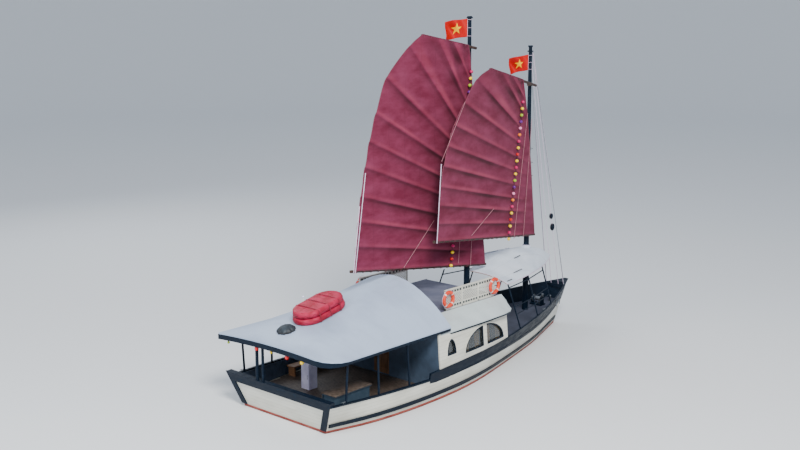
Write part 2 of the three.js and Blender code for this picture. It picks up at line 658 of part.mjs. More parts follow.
function buildSafetyGear() {
  const buoy = (name, x, y, z) => {
    const tyre = new THREE.TorusGeometry(290, 75, 10, 24);
    tyre.rotateX(Math.PI / 2);
    tyre.translate(x, y, z);
    add(name, solid(tyre), finish(ORANGE, 0.6));
  };
  const outboard = RAIL_Y + 112.1; // the tube rests against the top rail
  buoy("lifebuoy_starboard_aft", -2380, -outboard, 3690);
  buoy("lifebuoy_starboard_fore", 720, -outboard, 3690);
  buoy("lifebuoy_port", -3000, outboard, 3690);
  // Two oblong floats stacked on the aft roof, tilted as the roof is
  const oblong = (long, wide) => {
    const shape = new THREE.Shape();
    const straight = (long - wide) / 2;
    shape.absarc(straight, 0, wide / 2, -Math.PI / 2, Math.PI / 2, false);
    shape.absarc(-straight, 0, wide / 2, Math.PI / 2, 1.5 * Math.PI, false);
    return shape;
  };
  const place = { x: -7350, y: 300 };
  const slope = Math.atan((ROOF_RISE_FRONT - ROOF_RISE_AFT) / (ROOF_FRONT_X - ROOF_AFT_X));
  const float = (name, lift, long, wide) => {
    const geometry = new THREE.ExtrudeGeometry(oblong(long - 160, wide - 160), {
      depth: 120, bevelEnabled: true, bevelThickness: 70, bevelSize: 80, bevelSegments: 2, curveSegments: 8,
    });
    geometry.translate(0, 0, 70 + lift);
    geometry.rotateY(-slope);
    geometry.translate(place.x, place.y, roofZ(place.x, 0) - 12);
    add(name, solid(geometry).subtract(roofShell(200, GAP)), finish(FLOAT_RED, 0.6));
  };
  float("life_float_lower", 0, 2350, 1350);
  float("life_float_upper", 260 + GAP, 2250, 1280);
  const profile = shares(0, 1, 8).map((u) => {
    const turn = u * Math.PI / 2;
    return new THREE.Vector2(380 * Math.sin(turn), 240 * Math.cos(turn));
  });
  profile.push(new THREE.Vector2(0, 0));
  const cover = new THREE.LatheGeometry(profile, 20);
  cover.rotateX(Math.PI / 2);
  cover.rotateY(-slope);
  cover.translate(-9000, 420, roofZ(-9000, 420) - 15);
  add("roof_cover", solid(cover).subtract(roofShell(200, GAP)), finish(0x4a5560, 0.7));
}

function buildAftDeck() {
  const floor = DECK_Z + GAP;
  const counter = join(
    box(-9150, -7300, -2330, -1730, floor, 1290),
    box(-9200, -7250, -2380, -1690, 1290, 1330),
  );
  add("galley_counter", counter, finish(0x3a4148, 0.5));
  add("galley_locker", box(-7575, -7125, 715, 1165, floor, 2350), finish(0xb9b4cf, 0.5));
  const legs = [-6800, -5700, -4600].map((x) => box(x - 30, x + 30, 2360, 2730, floor, 870));
  const bench = join(box(-6900, -4500, 2330, 2760, 850, 900), ...legs);
  add("aft_bench_port", bench, finish(TEAK, 0.5));
}

function buildRunningGear() {
  const stock = rod([RUDDER_X, 0, -1395], [RUDDER_X, 0, 0], RUDDER_STOCK_R, undefined, 16);
  const blade = platePath([
    [-9420, -1250], [-9380, -700], [-9300, -560], [-8640, -560], [-8620, -1395], [-9200, -1395],
  ], -35, 35);
  add("rudder", stock.add(blade), finish(RED_PAINT, 0.7));
  const hub = rod([PROPELLER_X - 110, 0, SHAFT_Z], [PROPELLER_X + 110, 0, SHAFT_Z], 60, 75, 16);
  const shaft = rod([PROPELLER_X + 100, 0, SHAFT_Z], [STERNPOST_X - 60 - RUN, 0, SHAFT_Z], 40, 40, 16);
  const blades = [0, 1, 2].map((i) => {
    const shape = new THREE.Shape();
    shape.moveTo(-45, 40);
    shape.bezierCurveTo(-190, 150, -170, PROPELLER_R, 10, PROPELLER_R);
    shape.bezierCurveTo(150, PROPELLER_R - 20, 130, 120, 45, 40);
    const geometry = new THREE.ExtrudeGeometry(shape, { depth: 16, bevelEnabled: false, curveSegments: 6 });
    geometry.translate(0, 0, -8);
    geometry.rotateY(0.6);
    geometry.rotateX(Math.PI / 2);
    geometry.rotateZ(Math.PI / 2);
    geometry.rotateX(i * Math.PI * 2 / 3);
    geometry.translate(PROPELLER_X, 0, SHAFT_Z);
    return solid(geometry);
  });
  add("propeller", join(hub, shaft, ...blades), finish(BRONZE, 0.35, 0.9));
}

// Sail frame: s along the chord forward of the mast, across the sail plane, z up
function onSail(rig, degrees) {
  const group = new THREE.Group();
  group.position.set(rig.x, 0, 0);
  group.rotation.z = -THREE.MathUtils.degToRad(degrees);
  junk.add(group);
  return group;
}

function luffAt(rig, z) {
  const rows = rig.luff;
  const k = rows.findIndex((row, i) => i + 1 < rows.length && z <= rows[i + 1][1]);
  const [low, high] = k < 0 ? [rows[rows.length - 2], rows[rows.length - 1]] : [rows[k], rows[k + 1]];
  return low[0] + (high[0] - low[0]) * (z - low[1]) / (high[1] - low[1]);
}

function mastRadius(z, topZ) {
  return MAST_R + (MAST_TOP_R - MAST_R) * (z - MAST_FOOT_Z) / (topZ - MAST_FOOT_Z);
}

function buildRig(word, rig) {
  const { x, topZ, collarZ } = rig;
  const mast = rod([x, 0, MAST_FOOT_Z], [x, 0, topZ], MAST_R, MAST_TOP_R, 16).subtract(foredeckCutter());
  const truck = rod([x, 0, topZ - 40], [x, 0, topZ + 40], 110, 110, 16);
  const collar = rod([x, 0, collarZ], [x, 0, collarZ + 50], 140, 140, 16);
  add(`${word}_mast`, join(mast, truck, collar), finish(DARK_PAINT, 0.45));

  const group = onSail(rig, rig.swing);
  const piece = (name, shape, material) => {
    const mesh = add(name, shape, material);
    group.add(mesh);
  };
  // A straight pole from s0 to s1 along a line, held to the mast by a ring that turns round it
  const spar = (line, s0, s1) => {
    const parrelZ = line(0);
    const inner = boreFor(mastRadius(parrelZ - PARREL_HALF, topZ));
    const parrel = ring(0, 0, parrelZ - PARREL_HALF, inner, inner + 40, PARREL_HALF * 2, BORE_SIDES);
    const bridge = box(-40, 40, SPAR_Y, -inner - 10, parrelZ - 38, parrelZ + 38);
    const pole = rod([s0, SPAR_Y, line(s0)], [s1, SPAR_Y, line(s1)], SPAR_R, SPAR_R, 24);
    return join(pole, bridge, parrel);
  };
  const through = ([s0, z0], [s1, z1], drop) => (s) => z0 - drop + (z1 - z0) / (s1 - s0) * (s - s0);
  const boomLine = through(rig.clew, rig.tack, 35);
  piece(`${word}_boom`, spar(boomLine, rig.tack[0] + 120, rig.clew[0] - 150), finish(TEAK, 0.6));
  const yardLine = through(rig.peak, rig.throat, 50);
  piece(`${word}_yard`, spar(yardLine, 160, rig.peak[0] + 40), finish(TEAK, 0.6));

  // Battens, tied together along leech and luff, lie flat against the sail's port face: one plate with
  // an opening between each two battens
  const on = ({ leechS, leechZ, luffZ }, fromLeech, fromLuff, off) => {
    const slope = (luffZ - leechZ) / (luffAt(rig, luffZ) - leechS);
    const s = fromLuff === null ? leechS + fromLeech : luffAt(rig, luffZ) - fromLuff;
    return [s, leechZ + slope * (s - leechS) + off * Math.hypot(1, slope)];
  };
  const rows = rig.battens;
  const top = rows[rows.length - 1];
  const outer = [
    on(rows[0], 20, null, -LATH_HALF), ...rows.map((row) => on(row, 20, null, 0)),
    on(top, 20, null, LATH_HALF), on(top, 0, 20, LATH_HALF),
    ...rows.map((row) => on(row, 0, 20, 0)).reverse(), on(rows[0], 0, 20, -LATH_HALF),
  ];
  const openings = rows.slice(1).map((above, i) => [
    on(rows[i], 100, null, LATH_HALF), on(rows[i], 0, 60, LATH_HALF),
    on(above, 0, 60, -LATH_HALF), on(above, 100, null, -LATH_HALF),
  ]);
  const port = SAIL_Y + SAIL_HALF + GAP;
  piece(`${word}_battens`, platePath(outer, port, port + LATH_T, openings), finish(0x5c3a33, 0.7));

  const edge = [rig.clew, ...rig.battens.map(({ leechS, leechZ }) => [leechS, leechZ])];
  const kept = edge.filter(([s]) => s < rig.peak[0]);
  const luff = rig.luff.slice().reverse().filter(([, z]) => z < rig.throat[1]);
  const outline = [...kept, rig.peak, rig.throat, ...luff, rig.tack];
  const apart = (p, q) => Math.hypot(p[0] - q[0], p[1] - q[1]) > 30;
  const unique = outline.filter((point, i) => i === 0 || apart(point, outline[i - 1]));
  piece(`${word}_sail`, platePath(unique, SAIL_Y - SAIL_HALF, SAIL_Y + SAIL_HALF), finish(SAILCLOTH, 0.85));
}

function tentZ(station, u) {
  return TENT_EDGE_Z + (station.ridge - TENT_EDGE_Z) * (1 - Math.min(1, Math.abs(u)) ** TENT_POWER);
}

// The tent's half-width and ridge at any place along it
function tentAt(x) {
  const k = Math.max(0, Math.min(TENT.length - 2, TENT.findIndex((row, i) => i > 0 && x <= row.x) - 1));
  const u = (x - TENT[k].x) / (TENT[k + 1].x - TENT[k].x);
  const between = (column) => TENT[k][column] + (TENT[k + 1][column] - TENT[k][column]) * u;
  return { half: between("half"), ridge: between("ridge") };
}

function buildForedeck() {
  const across = shares(-1, 1, 10);
  const tent = loft(TENT.map((station) => ({
    a: across.map((u) => [station.x, u * station.half, tentZ(station, u)]),
    b: across.map((u) => [station.x, u * station.half, tentZ(station, u) - TENT_T]),
  })));
  const quarter = [[1800, 120], [2000, 120], [4550, 1500], [4700, 2300], [1800, 2300]];
  const openQuarter = new THREE.Shape(quarter.map((corner) => new THREE.Vector2(...corner)));
  const cutter = new THREE.ExtrudeGeometry(openQuarter, { depth: 2000, bevelEnabled: false });
  cutter.translate(0, 0, 3000);
  const mastHole = rod([FORE_X, 0, 3000], [FORE_X, 0, 5000], 200, 200, 20);
  const rollEnd = (x, y) => [x, y, tentZ(tentAt(x), y / tentAt(x).half) + 60];
  const roll = rod(rollEnd(4450, 1180), rollEnd(5900, 780), 100, 100, 10);
  add("foredeck_tent", tent.subtract(solid(cutter)).add(roll).subtract(mastHole), finish(ROOF_PAINT, 0.7));
  const tentCutter = loft(TENT.map((station) => ({
    a: across.map((u) => [station.x, u * station.half, tentZ(station, u) + 150]),
    b: across.map((u) => [station.x, u * station.half, tentZ(station, u) - TENT_T - GAP]),
  })));

  // Posts and rails under the tent
  for (const [word, side] of [["starboard", -1], ["port", 1]]) {
    const postRows = [[2150, 1800], [4100, 1480], [6000, 900]];
    const posts = postRows.map(([x, y]) => {
      const t = shareAt(x, 1700);
      const foot = sheerTop(t) - 20;
      const yFoot = side * (hullHalf(t, foot) - 35);
      const head = tentZ(tentAt(x), y / tentAt(x).half) - TENT_T + 12;
      return { base: [x, yFoot, foot], top: [x, side * y, head] };
    });
    const legs = posts.map(({ base, top }) => rod(base, top, 32, 32, 8));
    const at = ({ base, top }, z) => base.map((value, i) =>
      value + (top[i] - value) * (z - base[2]) / (top[2] - base[2]));
    const rails = [];
    for (let i = 0; i + 1 < posts.length; i += 1) {
      for (const z of [2150, 2450]) rails.push(rod(at(posts[i], z), at(posts[i + 1], z), 20, 20, 8));
      rails.push(rod(at(posts[i], 3280), at(posts[i + 1], 3280), 26, 26, 8));
    }
    const frame = join(...legs, ...rails).subtract(tentCutter).subtract(bulwarkTopCutter());
    add(`tent_frame_${word}`, frame, finish(DARK_PAINT, 0.45));
  }
}

function buildBowGear() {
  const deckAt = (x) => bandTop(shareAt(x, 1150)) + FOREDECK_T;
  // Windlass: a drum on an axle between two cheeks that stand on one bed
  const deckZ = deckAt(WINDLASS_X);
  const axleZ = deckZ + 300;
  const across = (y0, y1, r) => rod([WINDLASS_X, y0, axleZ], [WINDLASS_X, y1, axleZ], r, r, 16);
  const axle = across(-300, 300, WINDLASS_AXLE_R);
  const drum = join(across(-230, 230, 105), across(-230, -205, 170), across(205, 230, 170), axle);
  add("windlass_drum", drum, finish(GALVANISED, 0.5, 0.8));
  const cheeks = [-270, 270].map((y) =>
    box(WINDLASS_X - 110, WINDLASS_X + 110, y - 28, y + 28, deckZ + 30, axleZ + 90));
  const bed = box(WINDLASS_X - 200, WINDLASS_X + 200, -330, 330, deckZ - 60, deckZ + 60);
  const boreR = boreFor(WINDLASS_AXLE_R);
  const bore = rod([WINDLASS_X, -400, axleZ], [WINDLASS_X, 400, axleZ], boreR, boreR, BORE_SIDES);
  const frame = join(bed, ...cheeks).subtract(bore).subtract(foredeckCutter());
  add("windlass_frame", frame, finish(DARK_PAINT, 0.5));
  // Deck hatch with a lid hinged on its fore edge
  const hatchZ = deckAt(HATCH_X) + 130;
  const square = (half, z0, z1) => box(HATCH_X - half, HATCH_X + half, -half, half, z0, z1);
  const coaming = square(HATCH_HALF, deckAt(HATCH_X) - 60, hatchZ)
    .subtract(square(HATCH_HALF - HATCH_WALL, deckAt(HATCH_X) + 20, hatchZ + 50));
  add("hatch_coaming", coaming.subtract(foredeckCutter()), finish(TEAK, 0.6));
  add("hatch_lid", square(HATCH_HALF + LID_OVERHANG, hatchZ + GAP, hatchZ + LID_T), finish(TEAK, 0.6));
  // Anchor stowed against the starboard bow below the rail, flukes aft, on a bracket
  const along = (x, z, off) => [x, -(halfAt(x, 1500) + off), z];
  const shank = rod(along(6950, ANCHOR_Z, 75), along(7850, ANCHOR_Z, 75), 28, 28, 8);
  const stock = rod(along(7780, ANCHOR_Z - 230, 75), along(7780, ANCHOR_Z + 230, 75), 20, 20, 8);
  const arms = [-1, 1].map((way) =>
    rod(along(6960, ANCHOR_Z, 75), along(7230, ANCHOR_Z + way * 250, 75), 26, 14, 8));
  const bracket = rod(along(7400, ANCHOR_Z, -150), along(7400, ANCHOR_Z, 80), 36, 36, 8);
  const skinHeights = (t) => [DECK_Z, bandTop(t), sheerTop(t) - 75, sheerTop(t)];
  const bowSkin = hullBlock(19 / GRID_COUNT, 1, skinHeights, -0.5);
  add("anchor", join(shank, stock, ...arms, bracket).subtract(bowSkin), finish(GALVANISED, 0.5, 0.8));
}

function buildStays() {
  for (const [word, side] of [["starboard", -1], ["port", 1]]) {
    const footZ = sheerTop(shareAt(STAY_FOOT_X, 1950)) - 10;
    const foot = [STAY_FOOT_X, side * (halfAt(STAY_FOOT_X, 1950) - 20), footZ];
    const collar = FORE_SAIL.collarZ;
    const stay = rod(foot, [FORE_X + 65, side * 90, collar + 30], STAY_R, STAY_R, 6);
    const aboveCollar = box(6000, 6400, -300, 300, collar - GAP, collar + 200);
    add(`forestay_${word}`, stay.subtract(bulwarkTopCutter()).subtract(aboveCollar), finish(0x3a3a3a, 0.6));
  }
}

function buildHelm() {
  const floor = DECK_Z + GAP;
  const cabinet = box(HELM_X - 180, HELM_X + 180, -260, 260, floor, 1450);
  const top = box(HELM_X - 20, HELM_X + 240, -300, 300, 1440, 1520);
  const boreR = boreFor(HELM_SHAFT_R);
  const bearing = rod([HELM_X - 400, 0, HELM_Z], [HELM_X - 60, 0, HELM_Z], boreR, boreR, BORE_SIDES);
  add("helm_pedestal", join(cabinet, top).subtract(bearing), finish(TEAK, 0.5));
  const rim = new THREE.TorusGeometry(WHEEL_R, 18, 8, 28);
  rim.rotateY(Math.PI / 2);
  rim.translate(WHEEL_X, 0, HELM_Z);
  const shaftEnds = [WHEEL_X - 40, HELM_X - 80].map((x) => [x, 0, HELM_Z]);
  const shaft = rod(...shaftEnds, HELM_SHAFT_R, HELM_SHAFT_R, 16);
  const spokes = [0, 1, 2, 3].map((i) => {
    const turn = i * Math.PI / 4;
    const [y, z] = [HANDLE_END * Math.cos(turn), HANDLE_END * Math.sin(turn)];
    return rod([WHEEL_X, -y, HELM_Z - z], [WHEEL_X, y, HELM_Z + z], 12, 12, 8);
  });
  add("helm_wheel", join(solid(rim), shaft, ...spokes), finish(TEAK, 0.4));
}

function buildFlags() {
  // Each flag's hoist is bent to its mast; its fly end droops
  const cos = Math.cos(THREE.MathUtils.degToRad(FLAG_TURN));
  const sin = Math.sin(THREE.MathUtils.degToRad(FLAG_TURN));
  const flag = ({ x, topZ }, word, hoistZ, wide, high, droop) => {
    const station = (reach, top) => {
      const row = (off) => [top - high, top].map((z) =>
        [x - reach * cos + off * sin, reach * sin + off * cos, z]);
      return { a: row(6), b: row(-6) };
    };
    const mast = rod([x, 0, MAST_FOOT_Z], [x, 0, topZ], MAST_R + GAP, MAST_TOP_R + GAP, 16);
    const cloth = loft([station(60, hoistZ), station(60 + wide, hoistZ - droop)]);
    add(`${word}_flag`, cloth.subtract(mast), finish(FLAG_RED, 0.8));
  };
  flag(MAIN_SAIL, "main", MAIN_TOP_Z - 60, 1180, 780, 130);
  flag(FORE_SAIL, "fore", FORE_TOP_Z - 370, 1080, 720, 180);
}

buildHull();
buildTrim();
buildAftRoof();
buildCabin();
buildDoors();
buildSundeck();
buildSafetyGear();
buildAftDeck();
buildRunningGear();
buildForedeck();
buildBowGear();
buildStays();
buildHelm();
buildFlags();
buildRig("main", MAIN_SAIL);
buildRig("fore", FORE_SAIL);

export default junk;
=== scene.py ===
# %% [markdown]
# # A touring junk, dressed for a render
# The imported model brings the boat's solids: hull, roofs, masts, spars and deck gear. This lesson gives
# each solid its real finish, and replaces those that are cloth, lattice or rope with finer pieces.
# Everything is in metres: +X to the bow, +Y to port, +Z up, and z = 0 is the water's surface.

# %% Load the frame
import math
import random

import bmesh
import bpy
import numpy as np
from mathutils import Matrix, Vector


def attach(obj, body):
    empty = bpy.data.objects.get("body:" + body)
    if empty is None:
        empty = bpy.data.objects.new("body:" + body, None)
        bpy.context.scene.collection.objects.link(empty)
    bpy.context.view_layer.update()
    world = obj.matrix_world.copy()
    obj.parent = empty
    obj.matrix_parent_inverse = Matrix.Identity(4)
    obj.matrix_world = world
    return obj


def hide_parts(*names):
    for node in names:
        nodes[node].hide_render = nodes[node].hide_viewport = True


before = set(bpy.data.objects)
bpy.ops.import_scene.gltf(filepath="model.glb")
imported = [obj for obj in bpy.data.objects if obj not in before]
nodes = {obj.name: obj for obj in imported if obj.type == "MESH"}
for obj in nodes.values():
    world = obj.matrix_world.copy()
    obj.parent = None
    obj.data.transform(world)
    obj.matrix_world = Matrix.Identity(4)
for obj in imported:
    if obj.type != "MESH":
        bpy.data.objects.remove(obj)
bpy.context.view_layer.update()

SIDES = (("starboard", -1), ("port", 1))

# %% [markdown]
# ## The camera
# The boat was seen from its starboard quarter, from a height of about 15 m. The place of the eye sets
# which sides show and how the lines run together, so it is kept. The lens only sets how much of the frame
# the boat fills, so a longer one is used here.

# %% Camera
def add_object(name, data):
    made = bpy.data.objects.new(name, data)
    bpy.context.scene.collection.objects.link(made)
    return made


def aim(made, place, target):
    made.location = place
    made.rotation_euler = (Vector(target) - Vector(place)).to_track_quat("-Z", "Y").to_euler()


camera_data = bpy.data.cameras.new("quarter_view")
camera_data.lens = 50.3
camera_data.clip_end = 400
camera = add_object("quarter_view", camera_data)
aim(camera, (-36.86, -30.31, 15.4), (-1.29, 1.48, 6.17))
bpy.context.scene.camera = camera
print("lens:", camera_data.lens, "mm")

# %% [markdown]
# ## Colours and nodes
# Paint makers give colours as hex values in sRGB. Blender's shaders calculate in linear light, so one
# function turns each value over. A second function adds one shader node with its settings and what feeds
# it.

# %% Colour and node helpers
def paint_colour(code):
    channels = [int(code[i:i + 2], 16) / 255 for i in (1, 3, 5)]
    linear = [c / 12.92 if c <= 0.04045 else ((c + 0.055) / 1.055) ** 2.4 for c in channels]
    return (*linear, 1.0)


def put(finish, kind, feeds, out=0, **settings):
    """Adds a node and returns (node, output). feeds holds a value, a colour or such a pair per socket."""
    made = finish.node_tree.nodes.new("ShaderNode" + kind)
    for name, value in settings.items():
        setattr(made, name, value)
    for socket, value in feeds.items():
        if isinstance(value, tuple) and isinstance(value[0], bpy.types.Node):
            finish.node_tree.links.new(value[0].outputs[value[1]], made.inputs[socket])
        else:
            made.inputs[socket].default_value = paint_colour(value) if isinstance(value, str) else value
    return made, out


def start_finish(name, **shader):
    """A new material; its shader's own sockets are given by their names with _ for a space."""
    finish = bpy.data.materials.new(name)
    finish.use_nodes = True
    finish.node_tree.nodes.clear()
    sockets = {socket.replace("_", " "): value for socket, value in shader.items()}
    surface = put(finish, "BsdfPrincipled", sockets)
    put(finish, "OutputMaterial", {"Surface": surface})
    return finish


def feed(finish, socket, source):
    surface = finish.node_tree.nodes["Principled BSDF"]
    finish.node_tree.links.new(source[0].outputs[source[1]], surface.inputs[socket])


print("white paint in linear light:", [round(c, 3) for c in paint_colour("#CFCFC6")[:3]])

# %% [markdown]
# With these two, each idea of a painter becomes a short function: a cloudy noise, lines at an even pitch,
# a mix of two shades, and a relief that catches the light.

# %% Pattern helpers
def noise(finish, scale, detail=2.0, stretch=(1, 1, 1), **more):
    """A cloudy pattern fixed to the boat, stretched by a factor along each axis."""
    place = put(finish, "TexCoord", {}, "Object")
    where = put(finish, "Mapping", {"Vector": place, "Scale": stretch})
    return put(finish, "TexNoise", {"Vector": where, "Scale": scale, "Detail": detail, **more})


def along_axis(finish, axis):
    return put(finish, "SeparateXYZ", {"Vector": put(finish, "TexCoord", {}, "Object")}, axis)


def maths(finish, operation, first, second=0.5):
    return put(finish, "Math", {0: first, 1: second}, operation=operation)


def share(finish, source, low, high, to_low=0.0, to_high=1.0):
    """Turns the span low to high of a value into to_low to to_high."""
    return put(finish, "MapRange",
               {"Value": source, "From Min": low, "From Max": high, "To Min": to_low, "To Max": to_high})


def between(finish, amount, first, second):
    """Colour that goes from first to second as amount goes from 0 to 1."""
    return put(finish, "Mix", {0: amount, 6: first, 7: second}, 2, data_type="RGBA")


def mottled(finish, source, low, high, first, second):
    return between(finish, share(finish, source, low, high), first, second)


def lines_across(finish, axis, pitch, width):
    """1 on a thin line at every pitch metres along an axis, 0 between the lines."""
    within = maths(finish, "FRACT", maths(finish, "DIVIDE", along_axis(finish, axis), pitch))
    far = maths(finish, "ABSOLUTE", maths(finish, "SUBTRACT", within, 0.5))
    return share(finish, far, 0.5 - width / pitch, 0.5 - 0.3 * width / pitch)


def lined(finish, lines, strength, under, colour):
    return between(finish, maths(finish, "MULTIPLY", lines, strength), under, colour)


def relief(finish, height, strength, depth):
    feed(finish, "Normal", put(finish, "Bump", {"Height": height, "Strength": strength, "Distance": depth}))


print("pattern helpers ready")

# %% [markdown]
# ## Marine enamel on planks
# The topsides, transom and cabin are timber planks under brushed alkyd enamel. The eye sees three things:
# a soft gloss, a fine shadow line where two planks meet, and brown water stains low on the side. Each is
# a pattern driven by the point's height or by noise, so it needs no unwrapping. Planks are about 150 mm
# wide, and their seams 4 mm. A seam that fine would vanish at this size, so it is drawn 12 mm wide.

# %% White enamel on planks
PLANK, SEAM = 0.15, 0.012
white_enamel = start_finish("enamel_white_on_planks", Roughness=0.38, IOR=1.5)
seams = lines_across(white_enamel, 2, PLANK, SEAM)
brushed = noise(white_enamel, 1.0, 4.0, (1.5, 1.5, 40))
cloudy = noise(white_enamel, 1.4, 5.0, (0.5, 0.5, 1.6))
tone = mottled(white_enamel, cloudy, 0.35, 0.7, "#D6D5CA", "#C0BFB3")
splash = share(white_enamel, along_axis(white_enamel, 2), 0.75, 0.12, 0.0, 0.42)
stained = between(white_enamel, maths(white_enamel, "MULTIPLY", splash, cloudy), tone, "#8A8068")
feed(white_enamel, "Base Color", lined(white_enamel, seams, 0.28, stained, "#7C7A70"))
feed(white_enamel, "Roughness", share(white_enamel, cloudy, 0.3, 0.7, 0.3, 0.5))
relief(white_enamel, maths(white_enamel, "SUBTRACT", brushed, seams), 0.35, 0.004)
print("white enamel:", len(white_enamel.node_tree.nodes), "nodes, planks", PLANK, "m wide")

# %% [markdown]
# The rails, bulwark, posts and masts wear a blue-black enamel. It is glossier than the white, and hands
# and ropes have rubbed it to a lighter, duller blue-grey in patches.

# %% Dark enamel
dark_enamel = start_finish("enamel_blue_black", Roughness=0.42, IOR=1.5, Specular_IOR_Level=0.14)
rubbed = noise(dark_enamel, 2.6, 6.0, (1, 1, 2.5), Roughness=0.65)
feed(dark_enamel, "Base Color", mottled(dark_enamel, rubbed, 0.56, 0.78, "#071524", "#1A2C3E"))
feed(dark_enamel, "Roughness", share(dark_enamel, rubbed, 0.4, 0.7, 0.38, 0.62))
relief(dark_enamel, noise(dark_enamel, 1.0, stretch=(2, 2, 50)), 0.25, 0.003)
print("dark enamel:", len(dark_enamel.node_tree.nodes), "nodes")

# %% [markdown]
# Below the water the planks carry red antifouling, a soft matt paint that weathers chalky. A green-brown
# film grows along the waterline, from about 70 mm above it downwards.

# %% Red antifouling
antifouling = start_finish("antifouling_red", Roughness=0.82, IOR=1.45)
chalk = noise(antifouling, 2.2, 6.0, (1, 1, 3))
reds = mottled(antifouling, chalk, 0.35, 0.7, "#84302A", "#A4544A")
film = share(antifouling, along_axis(antifouling, 2), 0.07, 0.0, 0.0, 0.7)
feed(antifouling, "Base Color", between(antifouling, film, reds, "#453B2C"))
relief(antifouling, chalk, 0.4, 0.006)
print("antifouling:", len(antifouling.node_tree.nodes), "nodes")

# %% [markdown]
# The roofs are plywood sheets under a rolled pale paint: blue-grey on the aft roof, creamier on the two
# low roofs beside the sundeck. Sheets are 1.22 m wide, so a faint ridge runs across the roof at that
# pitch. Rain leaves grey streaks down the slope.

# %% Rolled roof paint
PLYWOOD = 1.22
ROOF_SHADES = {"blue_grey": ("#A2B1C8", "#8B99AF", "#7A8496"),
               "cream_grey": ("#B9C4C6", "#A3ADAF", "#868C8C")}
roof_paint = {}
for name, (clean, rained, joint) in ROOF_SHADES.items():
    paint = start_finish(f"roof_paint_{name}", Roughness=0.5, IOR=1.5)
    sheets = lines_across(paint, 0, PLYWOOD, 0.02)
    rain = noise(paint, 0.9, 5.0, (0.8, 0.5, 0.5), Roughness=0.5)
    pales = mottled(paint, rain, 0.45, 0.8, clean, rained)
    feed(paint, "Base Color", lined(paint, sheets, 0.16, pales, joint))
    feed(paint, "Roughness", share(paint, rain, 0.3, 0.7, 0.42, 0.62))
    relief(paint, maths(paint, "ADD", sheets, noise(paint, 60.0)), 0.3, 0.003)
    roof_paint[name] = paint
print("roof paints:", sorted(roof_paint))

# %% [markdown]
# The sundeck has a purple-grey deck paint with sand stirred in for grip. The foredeck gets a darker, bluer
# copy of it, a painted shade for the shadow under the tent. Feet wear it pale in patches. Sand grit is
# under a millimetre; it is drawn at 8 mm so that it shows.

# %% Deck paint with grit
DECK_SHADES = {"purple_grey": ("#4A4D62", "#626476", "#3E3E4C"),
               "dark_blue_painted_shade": ("#2B3040", "#3C4152", "#1D202A")}
deck_paint = {}
for name, (fresh, worn, groove) in DECK_SHADES.items():
    paint = start_finish(f"deck_paint_{name}", Roughness=0.85, IOR=1.5)
    greys = mottled(paint, noise(paint, 1.1, 6.0), 0.4, 0.7, fresh, worn)
    feed(paint, "Base Color", lined(paint, lines_across(paint, 1, 0.12, 0.008), 0.4, greys, groove))
    relief(paint, noise(paint, 120.0), 0.5, 0.003)
    deck_paint[name] = paint
print("deck paints:", sorted(deck_paint))

# %% [markdown]
# Doors, hatch, helm and bench are oiled teak: a brown wood whose darker grain runs along each board, 4 to
# 8 mm apart. The noise is squeezed across the grain and stretched along it. Two versions differ only in
# which way the boards run, so one loop makes both.

# %% Oiled teak, grain upright or along the boat
teak = {}
for run, stretch in (("upright", (26, 26, 1.4)), ("along", (1.4, 26, 26))):
    wood = start_finish(f"teak_oiled_{run}", Roughness=0.5, IOR=1.5)
    grain = noise(wood, 1.6, 5.0, stretch, Distortion=0.6)
    browns = mottled(wood, grain, 0.35, 0.65, "#8A6040", "#553720")
    feed(wood, "Base Color", lined(wood, lines_across(wood, 1, 0.14, 0.008), 0.7, browns, "#2A1A10"))
    feed(wood, "Roughness", share(wood, grain, 0.3, 0.7, 0.42, 0.6))
    relief(wood, grain, 0.3, 0.002)
    teak[run] = wood
print("teak:", sorted(teak))

# %% [markdown]
# The smaller finishes share one recipe: two close shades that a noise mixes, a roughness, and a fine
# relief. What differs is written in a table, in the way a painter keeps a list of tins. Metals are marked
# in place of an IOR; galvanised zinc is dull and blotched, and bronze has browned.

